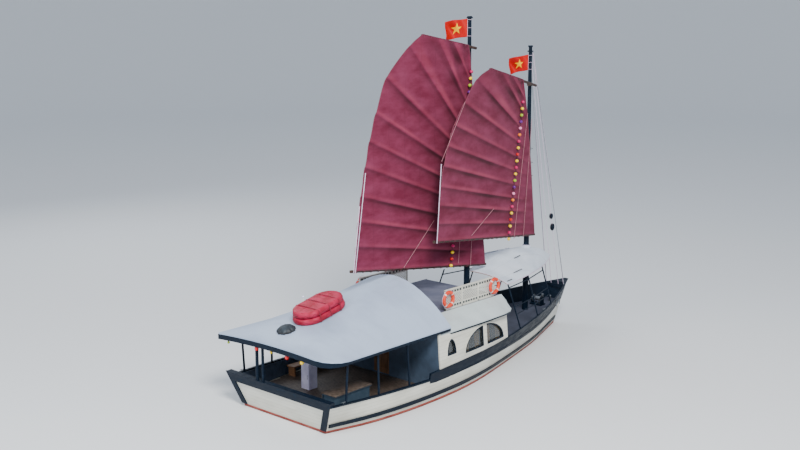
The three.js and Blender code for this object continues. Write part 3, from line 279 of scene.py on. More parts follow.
# %% Finishes from a table
METAL = None  # in place of an IOR
FINISHES = {
    # name: light shade, dark shade, blotches per metre, relief in metres, roughness, IOR
    "spar_wood_stained": ("#432A20", "#291913", 14.0, 0.002, 0.55, 1.5),
    "dark_wood_painted_shade": ("#584C44", "#3C332C", 10.0, 0.001, 0.5, 1.5),
    "slate_blue_painted_shade": ("#445468", "#3D4B5D", 4.0, 0.001, 0.5, 1.5),
    "bamboo_weathered": ("#A58A62", "#7C6342", 9.0, 0.001, 0.5, 1.5),
    "laminate_dark": ("#3A4A58", "#334250", 5.0, 0.0005, 0.35, 1.5),
    "enamel_lilac": ("#E4DFF6", "#CFC9E6", 3.0, 0.001, 0.4, 1.5),
    "bronze_browned": ("#9A7B45", "#5E4A2A", 12.0, 0.001, 0.38, METAL),
    "zinc_galvanised": ("#9AA0A6", "#6F757B", 30.0, 0.001, 0.52, METAL),
    "wire_galvanised": ("#A9B2B8", "#7D868C", 40.0, 0.001, 0.5, METAL),
    "polyethylene_orange": ("#E8431E", "#C83014", 6.0, 0.0006, 0.42, 1.5),
    "tape_reflective_white": ("#E0D6CE", "#CBBFB6", 30.0, 0.0003, 0.3, 1.5),
    "rope_polyester_pale": ("#DCCBDC", "#B9A2BC", 60.0, 0.002, 0.85, 1.45),
    "rope_hemp_pinkish": ("#B58088", "#8F5A66", 60.0, 0.002, 0.85, 1.45),
    "rope_tanned": ("#7A3A4A", "#57283A", 60.0, 0.002, 0.85, 1.45),
    "webbing_maroon": ("#8C2236", "#6A1526", 50.0, 0.001, 0.8, 1.5),
    "tarpaulin_grey": ("#242F38", "#161D24", 5.0, 0.003, 0.6, 1.5),
    "curtain_ochre": ("#E8AC52", "#C48A36", 20.0, 0.001, 0.85, 1.45),
    "rope_tarred_dark": ("#3B3532", "#241F1D", 60.0, 0.002, 0.8, 1.45),
    "rubber_black": ("#1B1C1E", "#101112", 20.0, 0.001, 0.6, 1.5),
}
tins = {}
for name, (light, dark, blotches, depth, rough, ior) in FINISHES.items():
    kind = {"Metallic": 1.0} if ior is METAL else {"IOR": ior}
    tins[name] = start_finish(name, Roughness=rough, **kind)
    blotch = noise(tins[name], blotches, 5.0)
    feed(tins[name], "Base Color", mottled(tins[name], blotch, 0.38, 0.64, light, dark))
    relief(tins[name], blotch, 0.5, depth)
print("finishes from the table:", len(tins))

# %% [markdown]
# Window glass is 12 mm thick and smoked. It lets some light through, so the dark cabin and its curtains
# show behind it, and it mirrors the sky at a slant. Real glass has an IOR of 1.52 and is almost perfectly
# smooth.

# %% Smoked glass
smoked_glass = start_finish("glass_smoked", Base_Color="#A4AEB4", Roughness=0.04, IOR=1.52,
                            Specular_IOR_Level=0.25, Transmission_Weight=0.95)
relief(smoked_glass, noise(smoked_glass, 1.5), 0.12, 0.01)
print("glass:", smoked_glass.name)

# %% [markdown]
# ## Finishes on the solids
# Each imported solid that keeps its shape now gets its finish. A narrow bevel, added as a modifier, rounds
# its sharp edges by a few millimetres, because real painted edges catch a line of light.

# %% Give the solids their finishes
def dress(names, finish, edge=0.006):
    for name in names:
        solid = nodes[name]
        solid.data.materials.clear()
        solid.data.materials.append(finish)
        rounding = solid.modifiers.new("rounded_edges", "BEVEL")
        rounding.width = edge
        rounding.segments = 2
        rounding.limit_method = "ANGLE"
        rounding.angle_limit = math.radians(40)


def both(name):
    return [f"{name}_{word}" for word, _ in SIDES]


dress(["hull_topsides", *both("cabin_side"), "cabin_bulkhead_front"], white_enamel)
# The aft bulkhead is slate blue: painted shade for the well under the aft roof.
dress(["cabin_bulkhead_aft"], tins["slate_blue_painted_shade"])
dress([*both("rubbing_strake"), "transom_frame", "aft_cap_rail", "bulwark_forward", *both("roof_frame"),
       *both("tent_frame"), "windlass_frame"], dark_enamel, 0.008)
dress(["main_mast", "fore_mast"], dark_enamel, 0.004)
dress(["hull_bottom", "rudder"], antifouling)
dress(["aft_roof"], roof_paint["blue_grey"], 0.01)
dress(both("skirt_roof"), roof_paint["cream_grey"], 0.01)
dress(["sundeck"], deck_paint["purple_grey"])
# The foredeck wears the darker copy: painted shade for the shadow under the tent.
dress(["foredeck"], deck_paint["dark_blue_painted_shade"])
dress(["cabin_door_aft", "cabin_door_front", "helm_pedestal", "helm_wheel"], teak["upright"], 0.003)
dress(["hatch_coaming", "hatch_lid", "aft_bench_port"], teak["along"], 0.004)
dress(["main_boom", "main_yard", "fore_boom", "fore_yard"], tins["spar_wood_stained"], 0.003)
dress(["galley_counter"], tins["laminate_dark"])
dress(["galley_locker"], tins["enamel_lilac"])
dress(["propeller"], tins["bronze_browned"], 0.002)
dress(["windlass_drum", "anchor"], tins["zinc_galvanised"], 0.003)
dress(both("forestay"), tins["wire_galvanised"], 0.001)
dress(both("cabin_glass"), smoked_glass, 0.001)
print("solids with a finish:", sum(1 for solid in nodes.values() if solid.modifiers))

# %% [markdown]
# ## Making pieces
# A new piece is points and faces. Three small helpers cover nearly all of this boat's fittings: a section
# carried along a path for ropes, rails and mouldings; a block with rounded edges for boards; and a patch,
# a grid of points bent to a surface, for cloth. A form is a pair: its points, and its faces as (corners,
# mark), where mark says which of the piece's finishes the face wears.

# %% Sections, paths and ropes
def steps(low, high, count):
    return [low + (high - low) * i / count for i in range(count + 1)]


def toward(start, end, u):
    """The point at the share u of the way from start to end."""
    return tuple(a + (b - a) * u for a, b in zip(start, end))


def round_section(radius, sides=10):
    turns = [2 * math.pi * i / sides for i in range(sides)]
    return [(radius * math.cos(t), radius * math.sin(t)) for t in turns]


def bar(wide, high):
    """A rectangular section, by its half-sizes."""
    return [(-wide, -high), (wide, -high), (wide, high), (-wide, high)]


def carried(path, section, across=None, closed=False, mark=0, sizes=None):
    """Carries a section along a path. across is the direction in which its first number is measured."""
    path = np.asarray(path, float)
    ahead = np.roll(path, -1, 0) - np.roll(path, 1, 0) if closed else np.gradient(path, axis=0)
    ahead /= np.linalg.norm(ahead, axis=1)[:, None]
    if across is None:
        across = np.eye(3)[int(np.argmin(np.abs(ahead).sum(0)))]
    sideways = np.broadcast_to(np.asarray(across, float), path.shape)
    sideways = sideways - (sideways * ahead).sum(1)[:, None] * ahead
    sideways /= np.linalg.norm(sideways, axis=1)[:, None]
    upward = np.cross(ahead, sideways)
    sizes = np.ones(len(path)) if sizes is None else np.asarray(sizes, float)
    points, faces, n = [], [], len(section)
    for at, side, up, size in zip(path, sideways, upward, sizes):
        points += [tuple(at + size * (a * side + b * up)) for a, b in section]
    for k in range(len(path) if closed else len(path) - 1):
        here, there = k * n, (k + 1) % len(path) * n
        faces += [((here + i, here + (i + 1) % n, there + (i + 1) % n, there + i), mark) for i in range(n)]
    if not closed:
        faces += [(tuple(range(n))[::-1], mark), (tuple(range((len(path) - 1) * n, len(path) * n)), mark)]
    return points, faces


def rope(path, radius, sides=8, mark=0, sizes=None):
    return carried(path, round_section(radius, sides), mark=mark, sizes=sizes)


def loop(path, radius, mark=0, across=(0, 0, 1)):
    """A thin line that closes on itself."""
    return carried(path, round_section(radius, 6), across, True, mark)


def hoop(centre, first, second, radius, sides=8, count=32, mark=0):
    """A ring of round section: first and second are its two half-axes as vectors."""
    centre, first, second = (np.asarray(v, float) for v in (centre, first, second))
    turns = [2 * math.pi * i / count for i in range(count)]
    path = [centre + first * math.cos(t) + second * math.sin(t) for t in turns]
    return carried(path, round_section(radius, sides), np.cross(first, second), True, mark)


def level_hoop(centre, wide, radius, sides=8, count=20):
    """A level ring of round section; wide is how far it lies from its centre."""
    return hoop(centre, (wide, 0, 0), (0, wide, 0), radius, sides, count)


print("a 1 m rope has", len(rope([(0, 0, 0), (0, 0, 1)], 0.01)[1]), "faces")

# %% Blocks, beads and sheets
def block(low, high, edge=0.006, mark=0):
    """A board or box with rounded edges between two corners."""
    low, high = Vector(low), Vector(high)
    shape = bmesh.new()
    bmesh.ops.create_cube(shape, size=1.0, matrix=Matrix.Diagonal((*(high - low), 1)))
    bmesh.ops.bevel(shape, geom=shape.edges[:], offset=edge, segments=2, affect="EDGES", profile=0.5)
    shape.verts.index_update()
    points = [tuple(v.co + (low + high) / 2) for v in shape.verts]
    faces = [(tuple(v.index for v in face.verts), mark) for face in shape.faces]
    shape.free()
    return points, faces


def ball(centre, radii, mark=0, across=10, around=14):
    """A closed rounded bead: rings from its lower to its upper pole."""
    def on_bead(tilt, turn):
        way = (math.sin(tilt) * math.cos(turn), math.sin(tilt) * math.sin(turn), -math.cos(tilt))
        return tuple(c + r * d for c, r, d in zip(centre, radii, way))

    points = [on_bead(0, 0)]
    for i in range(1, across):
        points += [on_bead(math.pi * i / across, 2 * math.pi * j / around) for j in range(around)]
    points.append(on_bead(math.pi, 0))
    top, last = len(points) - 1, 1 + (across - 2) * around
    faces = []
    for j in range(around):
        after = (j + 1) % around
        faces += [((0, 1 + after, 1 + j), mark), ((last + j, last + after, top), mark)]
        for row in range(1, last, around):
            faces.append(((row + j, row + after, row + around + after, row + around + j), mark))
    return points, faces


def patch(rows, mark=0):
    """A sheet through rows of points, all of one length."""
    wide = len(rows[0])
    points = [tuple(p) for row in rows for p in row]
    faces = [((k * wide + i, k * wide + i + 1, (k + 1) * wide + i + 1, (k + 1) * wide + i), mark)
             for k in range(len(rows) - 1) for i in range(wide - 1)]
    return points, faces


def together(*forms):
    points, faces = [], []
    for more_points, more_faces in forms:
        start = len(points)
        points += more_points
        faces += [(tuple(start + i for i in corners), mark) for corners, mark in more_faces]
    return points, faces


print("a bead has", len(ball((0, 0, 0), (1, 1, 1))[1]), "faces")

# %% From a form to a piece
def mesh_object(name, form, finishes, sharp):
    mesh = bpy.data.meshes.new(name)
    mesh.from_pydata(form[0], [], [corners for corners, _ in form[1]])
    for finish in finishes:
        mesh.materials.append(finish)
    mesh.polygons.foreach_set("material_index", [mark for _, mark in form[1]])
    mesh.shade_smooth()
    mesh.set_sharp_from_angle(angle=math.radians(sharp))
    return add_object(name, mesh)


def piece(name, parts, finishes, replaces=(), sharp=50, body="hull"):
    """Makes a piece of the boat from forms and lets it ride on a body."""
    made = mesh_object(name, together(*parts), finishes, sharp)
    if replaces:
        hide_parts(*replaces)
    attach(made, body)
    return made


def thicken(made, depth, offset=-1.0):
    skin = made.modifiers.new("cloth_thickness", "SOLIDIFY")
    skin.thickness = depth
    skin.offset = offset


print("pieces can be made")

# %% [markdown]
# ## The sails
# Each sail is tanned cotton, sewn in panels between battens that fan out from the luff, the edge at the
# mast. The wind presses the cloth back between the battens, so each batten stands proud as a line, with a
# shadow under it. A cloth simulation could find that shape, but the battens pin the sheet so closely that
# the shape is known: a shallow pocket in every panel, deepest just under the batten above. Building it
# directly keeps the edges on the spars and gives the same sheet at every run.
#
# Points on a sail are (s, z): s is measured forward of the mast along the sail, and z is the height.

# %% The two rigs
RIGS = {
    "main": {
        "x": 1.55, "swing": 3.0, "mast_top": 15.05,
        "leech": [(-7.16, 5.1), (-7.06, 6.1), (-6.93, 7.1), (-6.77, 8.1), (-6.52, 9.25), (-6.27, 10.25),
                  (-5.9, 11.35), (-5.28, 12.75), (-3.95, 13.95), (-3.27, 14.38), (-2.3, 14.21),
                  (-1.35, 14.043), (-0.42, 13.88)],
        "luff_z": [4.1, 4.7, 5.33, 5.98, 6.63, 7.28, 7.92, 8.56, 9.3, 10.0, 10.7, 12.2, 13.51],
        "luff": [(0.88, 4.1), (-0.32, 13.51)],
    },
    "fore": {
        "x": 6.1, "swing": -8.0, "mast_top": 13.7,
        "leech": [(-8.55, 6.02), (-8.47, 6.75), (-8.38, 7.5), (-8.28, 8.26), (-8.07, 9.09), (-7.71, 9.88),
                  (-7.25, 10.72), (-6.43, 11.58), (-5.36, 12.51), (-4.25, 12.89), (-3.24, 12.674),
                  (-2.26, 12.464), (-1.26, 12.25)],
        "luff_z": [4.87, 5.42, 5.95, 6.5, 7.08, 7.68, 8.3, 8.95, 9.62, 10.03, 10.45, 11.3, 12.15],
        "luff": [(0.205, 4.87), (-0.29, 8.05), (-0.85, 10.92), (-1.26, 12.25)],
    },
}
PEAK = 9  # place of the peak in the list: a corner of the edge, with no batten
SAIL_OFF = -0.318  # the cloth's plane, to starboard of the mast's axis
POCKET, PANEL = 0.115, 0.9  # depth of a pocket in a panel of that height
WRINKLE, CREASE, ROUND = 0.008, 0.005, 0.03  # heights of long and short wrinkles, and bow of the leech


def on_rig(rig, s, off, z):
    turn = math.radians(rig["swing"])
    along, beside = math.cos(turn), math.sin(turn)
    return np.array([rig["x"] + s * along + off * beside, off * along - s * beside, z])


def batten_ends(rig):
    """Leech and luff point of each row: the foot, the battens, the peak and the throat."""
    luff_s, luff_z = zip(*rig["luff"])
    luff = [(float(np.interp(z, luff_z, luff_s)), z) for z in rig["luff_z"]]
    return list(zip(rig["leech"], luff))


for name, rig in RIGS.items():
    print(name, "sail:", len(batten_ends(rig)) - 3, "battens, leech", round(rig["leech"][0][0], 2), "m")

# %% [markdown]
# The pocket's profile has to be flat where the batten is sewn on, fall away fast under the batten above,
# and come back slowly to the batten below. Long soft wrinkles run along each panel. A second function
# gives each point its painted shading: a painted shade in the fold under a batten, and a painted highlight
# on the crest above one.

# %% The sail's profile and its outer edge
def pocket_shape(f, room):
    """Depth from 0 to 1 at the share f of a panel's height; room is the share that is sewn to a batten."""
    g = min(max((f - room) / (1 - 2 * room), 0.0), 1.0)
    return 1.72 * g ** 1.25 * (1 - g) ** 0.42 if 0 < g < 1 else 0.0


def painted_fold_shading(f, tall):
    """1 for painted shade under a batten, -1 for a painted highlight on the crest above one, 0 between."""
    below, above = (1 - f) * tall, f * tall
    shadow = math.exp(-((below - 0.07) / 0.075) ** 2) + 0.4 * math.exp(-((below - 0.2) / 0.16) ** 2)
    crest_highlight = math.exp(-((above - 0.05) / 0.08) ** 2)
    return min(shadow, 1.0) - 0.8 * crest_highlight


def leech_at(points, k, part):
    """A smooth curve through the leech's points, from the k-th to the next; the peak stays a corner."""
    start, end = np.array(points[k]), np.array(points[k + 1])
    before = np.array(points[k - 1]) if k not in (0, PEAK) else 2 * start - end
    after = np.array(points[k + 2]) if k + 1 not in (PEAK, len(points) - 1) else 2 * end - start
    way_in, way_out = (end - before) / 2, (after - start) / 2
    square, cube = part ** 2, part ** 3
    place = (2 * cube - 3 * square + 1) * start + (cube - 2 * square + part) * way_in
    return list(place + (3 * square - 2 * cube) * end + (cube - square) * way_out)


print("deepest at", max((pocket_shape(f, 0.03), f) for f in steps(0, 1, 100))[1], "of a panel's height")

# %% The sail's surface
def sail_form(rig, seed, columns=110, fine=18):
    """Rows of points from foot to head, and the painted shading of each point."""
    chance = random.Random(seed)
    ends = batten_ends(rig)
    phases = [chance.uniform(0, 6.28) for _ in ends]
    rows, painted_shadings = [], []
    for k in range(len(ends) - 1):
        half_panel = k in (PEAK - 1, PEAK)
        count = fine // 2 if half_panel else fine
        panel = PEAK - 1 if half_panel else k
        phase = phases[panel]
        low, high = ends[panel], ends[panel + 2 if half_panel else panel + 1]
        for j in range(count + (k == len(ends) - 2)):
            part = j / count
            f = part * 0.5 + (0.5 if k == PEAK else 0.0) if half_panel else part
            leech, luff = leech_at(rig["leech"], k, part), toward(ends[k][1], ends[k + 1][1], part)
            middle = math.sin(math.pi * f)
            rows.append([])
            for u in steps(0, 1, columns):
                s, z = toward(leech, luff, u)
                tall = max((high[0][1] - low[0][1]) * (1 - u) + (high[1][1] - low[1][1]) * u, 0.3)
                swell = 0.3 + 0.7 * math.sin(math.pi * min(1.0, u * 1.1 + 0.05)) ** 0.6
                width = swell * min(1.0, (1 - u) * 7)
                wrinkle = WRINKLE * math.sin(9.0 * u + 5.0 * f + phase)
                wrinkle += CREASE * math.sin(23.0 * u - 7.0 * f + 2 * phase)
                depth = POCKET * min(1.2, tall / PANEL) * width * pocket_shape(f, 0.03 / tall)
                depth += wrinkle * middle * width
                bowed = s + ROUND * middle * (1 - u) ** 8
                rows[-1].append(on_rig(rig, bowed, SAIL_OFF + max(depth, 0.0), z))
                uneven = 0.75 + 0.25 * math.sin(6.0 * u + phase) + 0.15 * math.sin(17.0 * u + 3 * phase)
                painted_shadings.append(painted_fold_shading(f, tall) * width * uneven)
    return rows, painted_shadings


print("the shape of a sail is known")

# %% [markdown]
# The cloth is cotton steeped in a tannin dye, which dries to a wine red and fades in the sun. It is sewn
# from widths of 0.9 m, so a stitched seam runs up the sail at that pitch. Its weave of about 1 mm is
# drawn at 9 mm so that it shows. A little sheen stands for the fuzz of the cotton.

# %% Tanned cotton
cotton = start_finish("cotton_tanned", Roughness=0.9, IOR=1.45, Specular_IOR_Level=0.2, Sheen_Weight=0.04,
                      Sheen_Roughness=0.5)
painted_shading_value = put(cotton, "Attribute", {}, 2, attribute_name="fold")
widths = lines_across(cotton, 0, 0.9, 0.03)
faded = noise(cotton, 1.3, 6.0, (0.7, 0.7, 1.6), Roughness=0.6)
dyed = mottled(cotton, faded, 0.36, 0.68, "#621B33", "#78304A")
# Painted shade darkens the folds under the battens, and a painted highlight lightens the crests above them.
with_painted_shade = between(cotton, share(cotton, painted_shading_value, 0.0, 1.0, 0.0, 0.8), dyed, "#2F0C17")
with_painted_highlight = between(cotton, share(cotton, painted_shading_value, 0.0, -1.0, 0.0, 0.6), with_painted_shade, "#A6485F")
feed(cotton, "Base Color", lined(cotton, widths, 0.12, with_painted_highlight, "#3A1420"))
relief(cotton, maths(cotton, "ADD", noise(cotton, 110.0), widths), 0.4, 0.004)
print("tanned cotton:", len(cotton.node_tree.nodes), "nodes")

# %% The two sails
sail_rows = {}
for seed, (name, rig) in enumerate(RIGS.items()):
    rows, painted_shadings = sail_form(rig, 11 + seed)
    cloth = piece(f"{name}_sail_cloth", [patch(rows)], [cotton], [f"{name}_sail"], sharp=180,
                  body=f"{name}_rig")
    # The attribute fold holds each point's painted shade and painted highlight.
    layer = cloth.data.attributes.new("fold", "FLOAT", "POINT")
    layer.data.foreach_set("value", painted_shadings)
    thicken(cloth, 0.004, 0.0)
    edge = [*rig["leech"], *[end for _, end in batten_ends(rig)][::-1]]
    wide, high = (max(p[i] for p in edge) - min(p[i] for p in edge) for i in (0, 1))
    sail_rows[name] = rows

# %% [markdown]
# ## Battens, edge ropes and lashings
# Behind the cloth lie bamboo poles, one to a crease. A bamboo stem swells at its knots, about 450 mm
# apart, so each pole is a rope-like section whose size jumps a little at every knot. A rope is sewn round
# the edge of the cloth, and short lashings hold its foot and head to the spars. Loops called parrels hold
# each batten to the mast and let the sail swing.

# %% Battens and parrels
BATTEN_OFF, BATTEN_R = -0.278, 0.021
KNOT, KNOT_HALF = 0.45, 0.012  # distance between two knots, and half a knot's length
PARREL_OFF = 0.262  # how far to starboard of the mast's axis a parrel passes


def mast_radius(rig, z):
    return 0.15 - 0.07 * (z - 1.0) / (rig["mast_top"] - 1.0)


def bamboo(start, end):
    """A bamboo pole between two points."""
    long = float(np.linalg.norm(end - start))
    stops, sizes = [0.0], [0.9]
    for knot in np.arange(0.3, long - 0.1, KNOT):
        stops += [knot - KNOT_HALF, knot, knot + KNOT_HALF]
        sizes += [1.0, 1.13, 1.0]
    stops.append(long)
    sizes.append(0.85)
    return rope([toward(start, end, stop / long) for stop in stops], BATTEN_R, 10, sizes=sizes)


def parrel(rig, leech, front):
    """A loop round the mast and the front end of a batten."""
    reach = mast_radius(rig, front[1]) + 0.03
    back = min(front[0] - 0.04, -reach)
    middle_s, half_s = (reach + back) / 2, (reach - back) / 2
    middle_off, half_off = (reach - 0.01 - PARREL_OFF) / 2, (reach - 0.01 + PARREL_OFF) / 2
    slope = (front[1] - leech[1]) / (front[0] - leech[0])
    z = front[1] + slope * (min(0.0, front[0] - 0.04) - front[0])
    centre = on_rig(rig, middle_s, middle_off, z)
    side = on_rig(rig, middle_s + half_s, middle_off, z) - centre
    out = on_rig(rig, middle_s, middle_off + half_off, z) - centre
    return hoop(centre, side, out, 0.008, 6, 28)


def batten_forms(rig):
    """The poles and the parrels of a rig."""
    poles, parrels, ends = [], [], batten_ends(rig)
    for k in [*range(1, PEAK), PEAK + 1, PEAK + 2]:
        leech, front = ends[k]
        tip = toward(leech, front, 0.07 if k > PEAK else 0.006)
        after_end = on_rig(rig, tip[0], BATTEN_OFF, tip[1])
        poles.append(bamboo(after_end, on_rig(rig, front[0] - 0.02, BATTEN_OFF, front[1])))
        if front[0] > -0.5 and k < PEAK:
            parrels.append(parrel(rig, leech, front))
    return poles, parrels


print("bamboo poles:", BATTEN_R * 2, "m thick")

# %% Edge ropes and lashings
SPAR_OFF, LASHING_R = -0.249, 0.081  # axis of the spars, and radius of the turns round them


def lashed(rig, low, high, drop):
    """Pairs of turns round a spar that runs drop below the cloth's edge from low to high."""
    slope, turns = (high[1] - low[1]) / (high[0] - low[0]), []
    for s in np.arange(low[0] + 0.12, high[0] - 0.05, 0.42):
        if abs(s) < 0.3:
            continue
        z = low[1] - drop + slope * (s - low[0])
        centre = on_rig(rig, s, SPAR_OFF, z)
        out = on_rig(rig, s, SPAR_OFF - LASHING_R, z) - centre
        lift = on_rig(rig, s - slope * 0.07, SPAR_OFF, z + 0.07) - centre
        for d in (-0.012, 0.004):
            turns.append(hoop(centre + np.array([d, 0, slope * d]), out, lift, 0.006, 6, 20))
    return turns


def edge_line(rows):
    """The edge of a grid of points, without points closer than 50 mm."""
    edge = [*rows[0], *[row[-1] for row in rows[1:]], *rows[-1][-2::-1], *[row[0] for row in rows[-2:0:-1]]]
    kept = [edge[0]]
    for point in edge[1:]:
        if np.linalg.norm(point - kept[-1]) > 0.05:
            kept.append(point)
    return kept[:-1]


for name, rig in RIGS.items():
    body = f"{name}_rig"
    poles, parrels = batten_forms(rig)
    piece(f"{name}_battens_bamboo", poles, [tins["bamboo_weathered"]], [f"{name}_battens"],
          body=body)
    piece(f"{name}_parrels", parrels, [tins["rope_tarred_dark"]], body=body)
    face = on_rig(rig, 0, 1, 0) - on_rig(rig, 0, 0, 0)
    edge_rope = carried(edge_line(sail_rows[name]), round_section(0.014, 8), face, True)
    leech, luff_foot = rig["leech"], batten_ends(rig)[0][1]
    lashings = lashed(rig, leech[0], luff_foot, 0.035) + lashed(rig, leech[PEAK], leech[-1], 0.05)
    piece(f"{name}_edge_rope", [edge_rope, *lashings], [tins["rope_tanned"]], body=body)
    print(name, "rig:", len(poles), "battens,", len(parrels), "parrels,", len(lashings), "turns of lashing")

# %% [markdown]
# Strings of coloured balls hang down the starboard face of each sail, and pale working ropes cross it.
# The balls are glossy plastic, 0.15 m across and 0.29 m apart. They are beads threaded on a line, so each
# has its own rounded form and the line runs on through them.

# %% Strings of balls and working ropes
BALLS = {"yellow": "#F8CE00", "magenta": "#C20A5E", "lime": "#9CB81A", "purple": "#5C0F78",
         "pink": "#F08CB8", "orange": "#F07C0A", "scarlet": "#C80812"}
BALL_ORDER = [1, 0, 2, 3, 4, 5, 1, 0, 6, 0]
BALL_RADII, BALL_PITCH = (0.078, 0.078, 0.07), 0.29
STRING_OFF, ROPE_OFF = -0.42, -0.365  # to starboard of the mast's axis
STRINGS = {"main": ((-0.33, 12.75), (-1.52, 4.42)), "fore": ((-1.44, 11.25), (-2.56, 5.1))}
WORKING_ROPES = {  # start and end on the sail, and radius: the thick ones are pale, the thin ones hemp
    "main": [((-1.55, 10.2), (-2.35, 5.5), 0.008), ((-0.86, 5.9), (-0.98, 4.42), 0.01),
             ((-0.08, 6.0), (-0.17, 4.2), 0.01), ((-2.56, 6.55), (-4.4, 4.78), 0.01),
             ((-6.56, 9.0), (-7.16, 5.0), 0.017), ((-6.9, 7.7), (-7.24, 5.05), 0.017)],
    "fore": [((-0.85, 10.7), (-1.95, 5.0), 0.01), ((-0.42, 10.4), (-1.03, 4.95), 0.01),
             ((-3.9, 6.7), (-5.85, 5.8), 0.01), ((-8.36, 9.2), (-8.66, 5.96), 0.018),
             ((-6.5, 11.6), (-8.34, 9.3), 0.008)],
}
ball_plastics = {}
for name, code in BALLS.items():
    plastic = start_finish(f"plastic_gloss_{name}", Roughness=0.28, IOR=1.5)
    dust = share(plastic, noise(plastic, 18.0, 4.0), 0.5, 0.85, 0.0, 0.2)
    feed(plastic, "Base Color", between(plastic, dust, code, "#8A7A70"))
    ball_plastics[name] = plastic


def down_sail(rig, start, end, off, count):
    return [on_rig(rig, s, off, z) for s, z in (toward(start, end, u) for u in steps(0, 1, count))]


for name, rig in RIGS.items():
    start, end = STRINGS[name]
    count = int(math.dist(start, end) / BALL_PITCH)
    hung = [rope(down_sail(rig, start, end, STRING_OFF, 12), 0.007, 6)]
    for i, centre in enumerate(down_sail(rig, start, end, STRING_OFF, count)):
        hung.append(ball(centre, BALL_RADII, mark=1 + BALL_ORDER[i % len(BALL_ORDER)]))
    piece(f"{name}_string_of_balls", hung, [tins["rope_tarred_dark"], *ball_plastics.values()],
          body=f"{name}_rig")
    ropes = [rope(down_sail(rig, start, end, ROPE_OFF, 8), radius, 8, mark=int(radius < 0.015))
             for start, end, radius in WORKING_ROPES[name]]
    piece(f"{name}_working_ropes", ropes, [tins["rope_polyester_pale"], tins["rope_hemp_pinkish"]],
          body=f"{name}_rig")
    print(name, "string:", count + 1, "balls")

# %% [markdown]
# ## The flags
# A flag of light nylon streams from each masthead, aft and to port. Waves run down the cloth and grow
# towards the free end. A formula gives the place of any point of the cloth, so the yellow star can be
# laid on both faces by the same formula and follows every wave.

# %% Flag nylon
def nylon(name, light, dark):
    finish = start_finish(name, Roughness=0.6, IOR=1.5, Specular_IOR_Level=0.2)
    threads = noise(finish, 60.0, stretch=(1, 1, 4))
    feed(finish, "Base Color", mottled(finish, threads, 0.35, 0.65, light, dark))
    return finish, threads


flag_nylon, threads = nylon("nylon_red", "#C00604", "#980402")
relief(flag_nylon, threads, 0.25, 0.002)
star_nylon, _ = nylon("nylon_yellow", "#F8C400", "#E09E00")
print("flag finishes:", flag_nylon.name, star_nylon.name)

# %% Flags with their stars
FLAG_TURN = math.radians(40)
STAR_OFF = 0.004  # how far the star stands off the cloth
WAVE, RIPPLE, FLUTTER = 0.17, 0.06, 0.03  # heights of the waves at the free end
FLAGS = {"main": {"top": 14.985, "wide": 1.16, "high": 0.775, "droop": 0.12},
         "fore": {"top": 13.325, "wide": 1.06, "high": 0.715, "droop": 0.17}}


def flag_point(rig, flag, a, b, off=0.0):
    """a is the reach from the mast and b the depth from the top edge; off lifts a point off the cloth."""
    out = a / flag["wide"]
    beside = off + WAVE * out ** 0.8 * math.sin(7.4 * a + 3.8 * b)
    beside += RIPPLE * out * math.sin(9.0 * b + 5.0 * a)
    reach = 0.09 + a * 0.84
    x = rig["x"] - reach * math.cos(FLAG_TURN) + beside * math.sin(FLAG_TURN)
    y = reach * math.sin(FLAG_TURN) + beside * math.cos(FLAG_TURN)
    return (x, y, flag["top"] - b - flag["droop"] * out - FLUTTER * out * math.sin(6.5 * a + 3.0 * b))


def star_form(rig, flag, off, cuts=6):
    """A five-pointed star laid on the flag: ten triangles, each cut into small ones."""
    middle, size = (flag["wide"] * 0.5, flag["high"] * 0.5), flag["high"] * 0.34
    corners = []
    for i in range(10):
        far, turn = size * (0.382 if i % 2 else 1.0), math.pi * i / 5
        corners.append((middle[0] + far * math.sin(turn), middle[1] - far * math.cos(turn)))
    points, faces = [], []
    for first, second in zip(corners, corners[1:] + corners[:1]):
        start = len(points)
        for r in range(cuts + 1):
            for c in range(r + 1):
                u, v = (r - c) / cuts, c / cuts
                a, b = (m + u * (p - m) + v * (q - m) for m, p, q in zip(middle, first, second))
                points.append(flag_point(rig, flag, a, b, off))
        for r in range(cuts):
            for c in range(r + 1):
                here, below = start + r * (r + 1) // 2 + c, start + (r + 1) * (r + 2) // 2 + c
                faces.append(((here, below, below + 1), 0))
                if c < r:
                    faces.append(((here, below + 1, here + 1), 0))
    return points, faces


for name, flag in FLAGS.items():
    rig, wide, high = RIGS[name], flag["wide"], flag["high"]
    rows = [[flag_point(rig, flag, a, b) for a in steps(0, wide, 60)] for b in steps(0, high, 30)]
    cloth = piece(f"{name}_flag_cloth", [patch(rows)], [flag_nylon], [f"{name}_flag"], 180)
    thicken(cloth, 0.002, 0.0)
    both_faces = [star_form(rig, flag, off) for off in (STAR_OFF, -STAR_OFF)]
    stars = piece(f"{name}_flag_star", both_faces, [star_nylon], sharp=180)
    hoist = [rope([flag_point(rig, flag, 0.0, b) for b in steps(0, high, 10)], 0.008, 8)]
    for b in (0.04, high * 0.5, high - 0.04):
        hoist.append(level_hoop((rig["x"], 0, flag["top"] - b), 0.1, 0.007, 6))
    line = piece(f"{name}_flag_hoist", hoist, [tins["rope_polyester_pale"]])
    print(name, "flag:", round(wide, 2), "by", round(high, 2), "m")

# %% [markdown]
# ## The foredeck tent
# The tent is one canvas sheet, stretched from a ridge down to a rail on each side and narrowing to the
# bow. It sags a little between its hoops. Its port after quarter is rolled up and tied. The sheet is a
# grid whose edge follows the real edge, so the cut is clean; sag is added as a smooth dip between each
# two hoops.

# %% Tent canvas
canvas = start_finish("canvas_proofed_pale", Roughness=0.8, IOR=1.45, Sheen_Weight=0.15)
seams = lines_across(canvas, 1, 0.74, 0.02)
pales = mottled(canvas, noise(canvas, 1.2, 4.0, (0.8, 1.2, 1)), 0.45, 0.8, "#C6CFDB", "#AEB9C8")
feed(canvas, "Base Color", lined(canvas, seams, 0.3, pales, "#8C92A0"))
relief(canvas, maths(canvas, "ADD", noise(canvas, 100.0), seams), 0.35, 0.003)
print("canvas:", len(canvas.node_tree.nodes), "nodes")

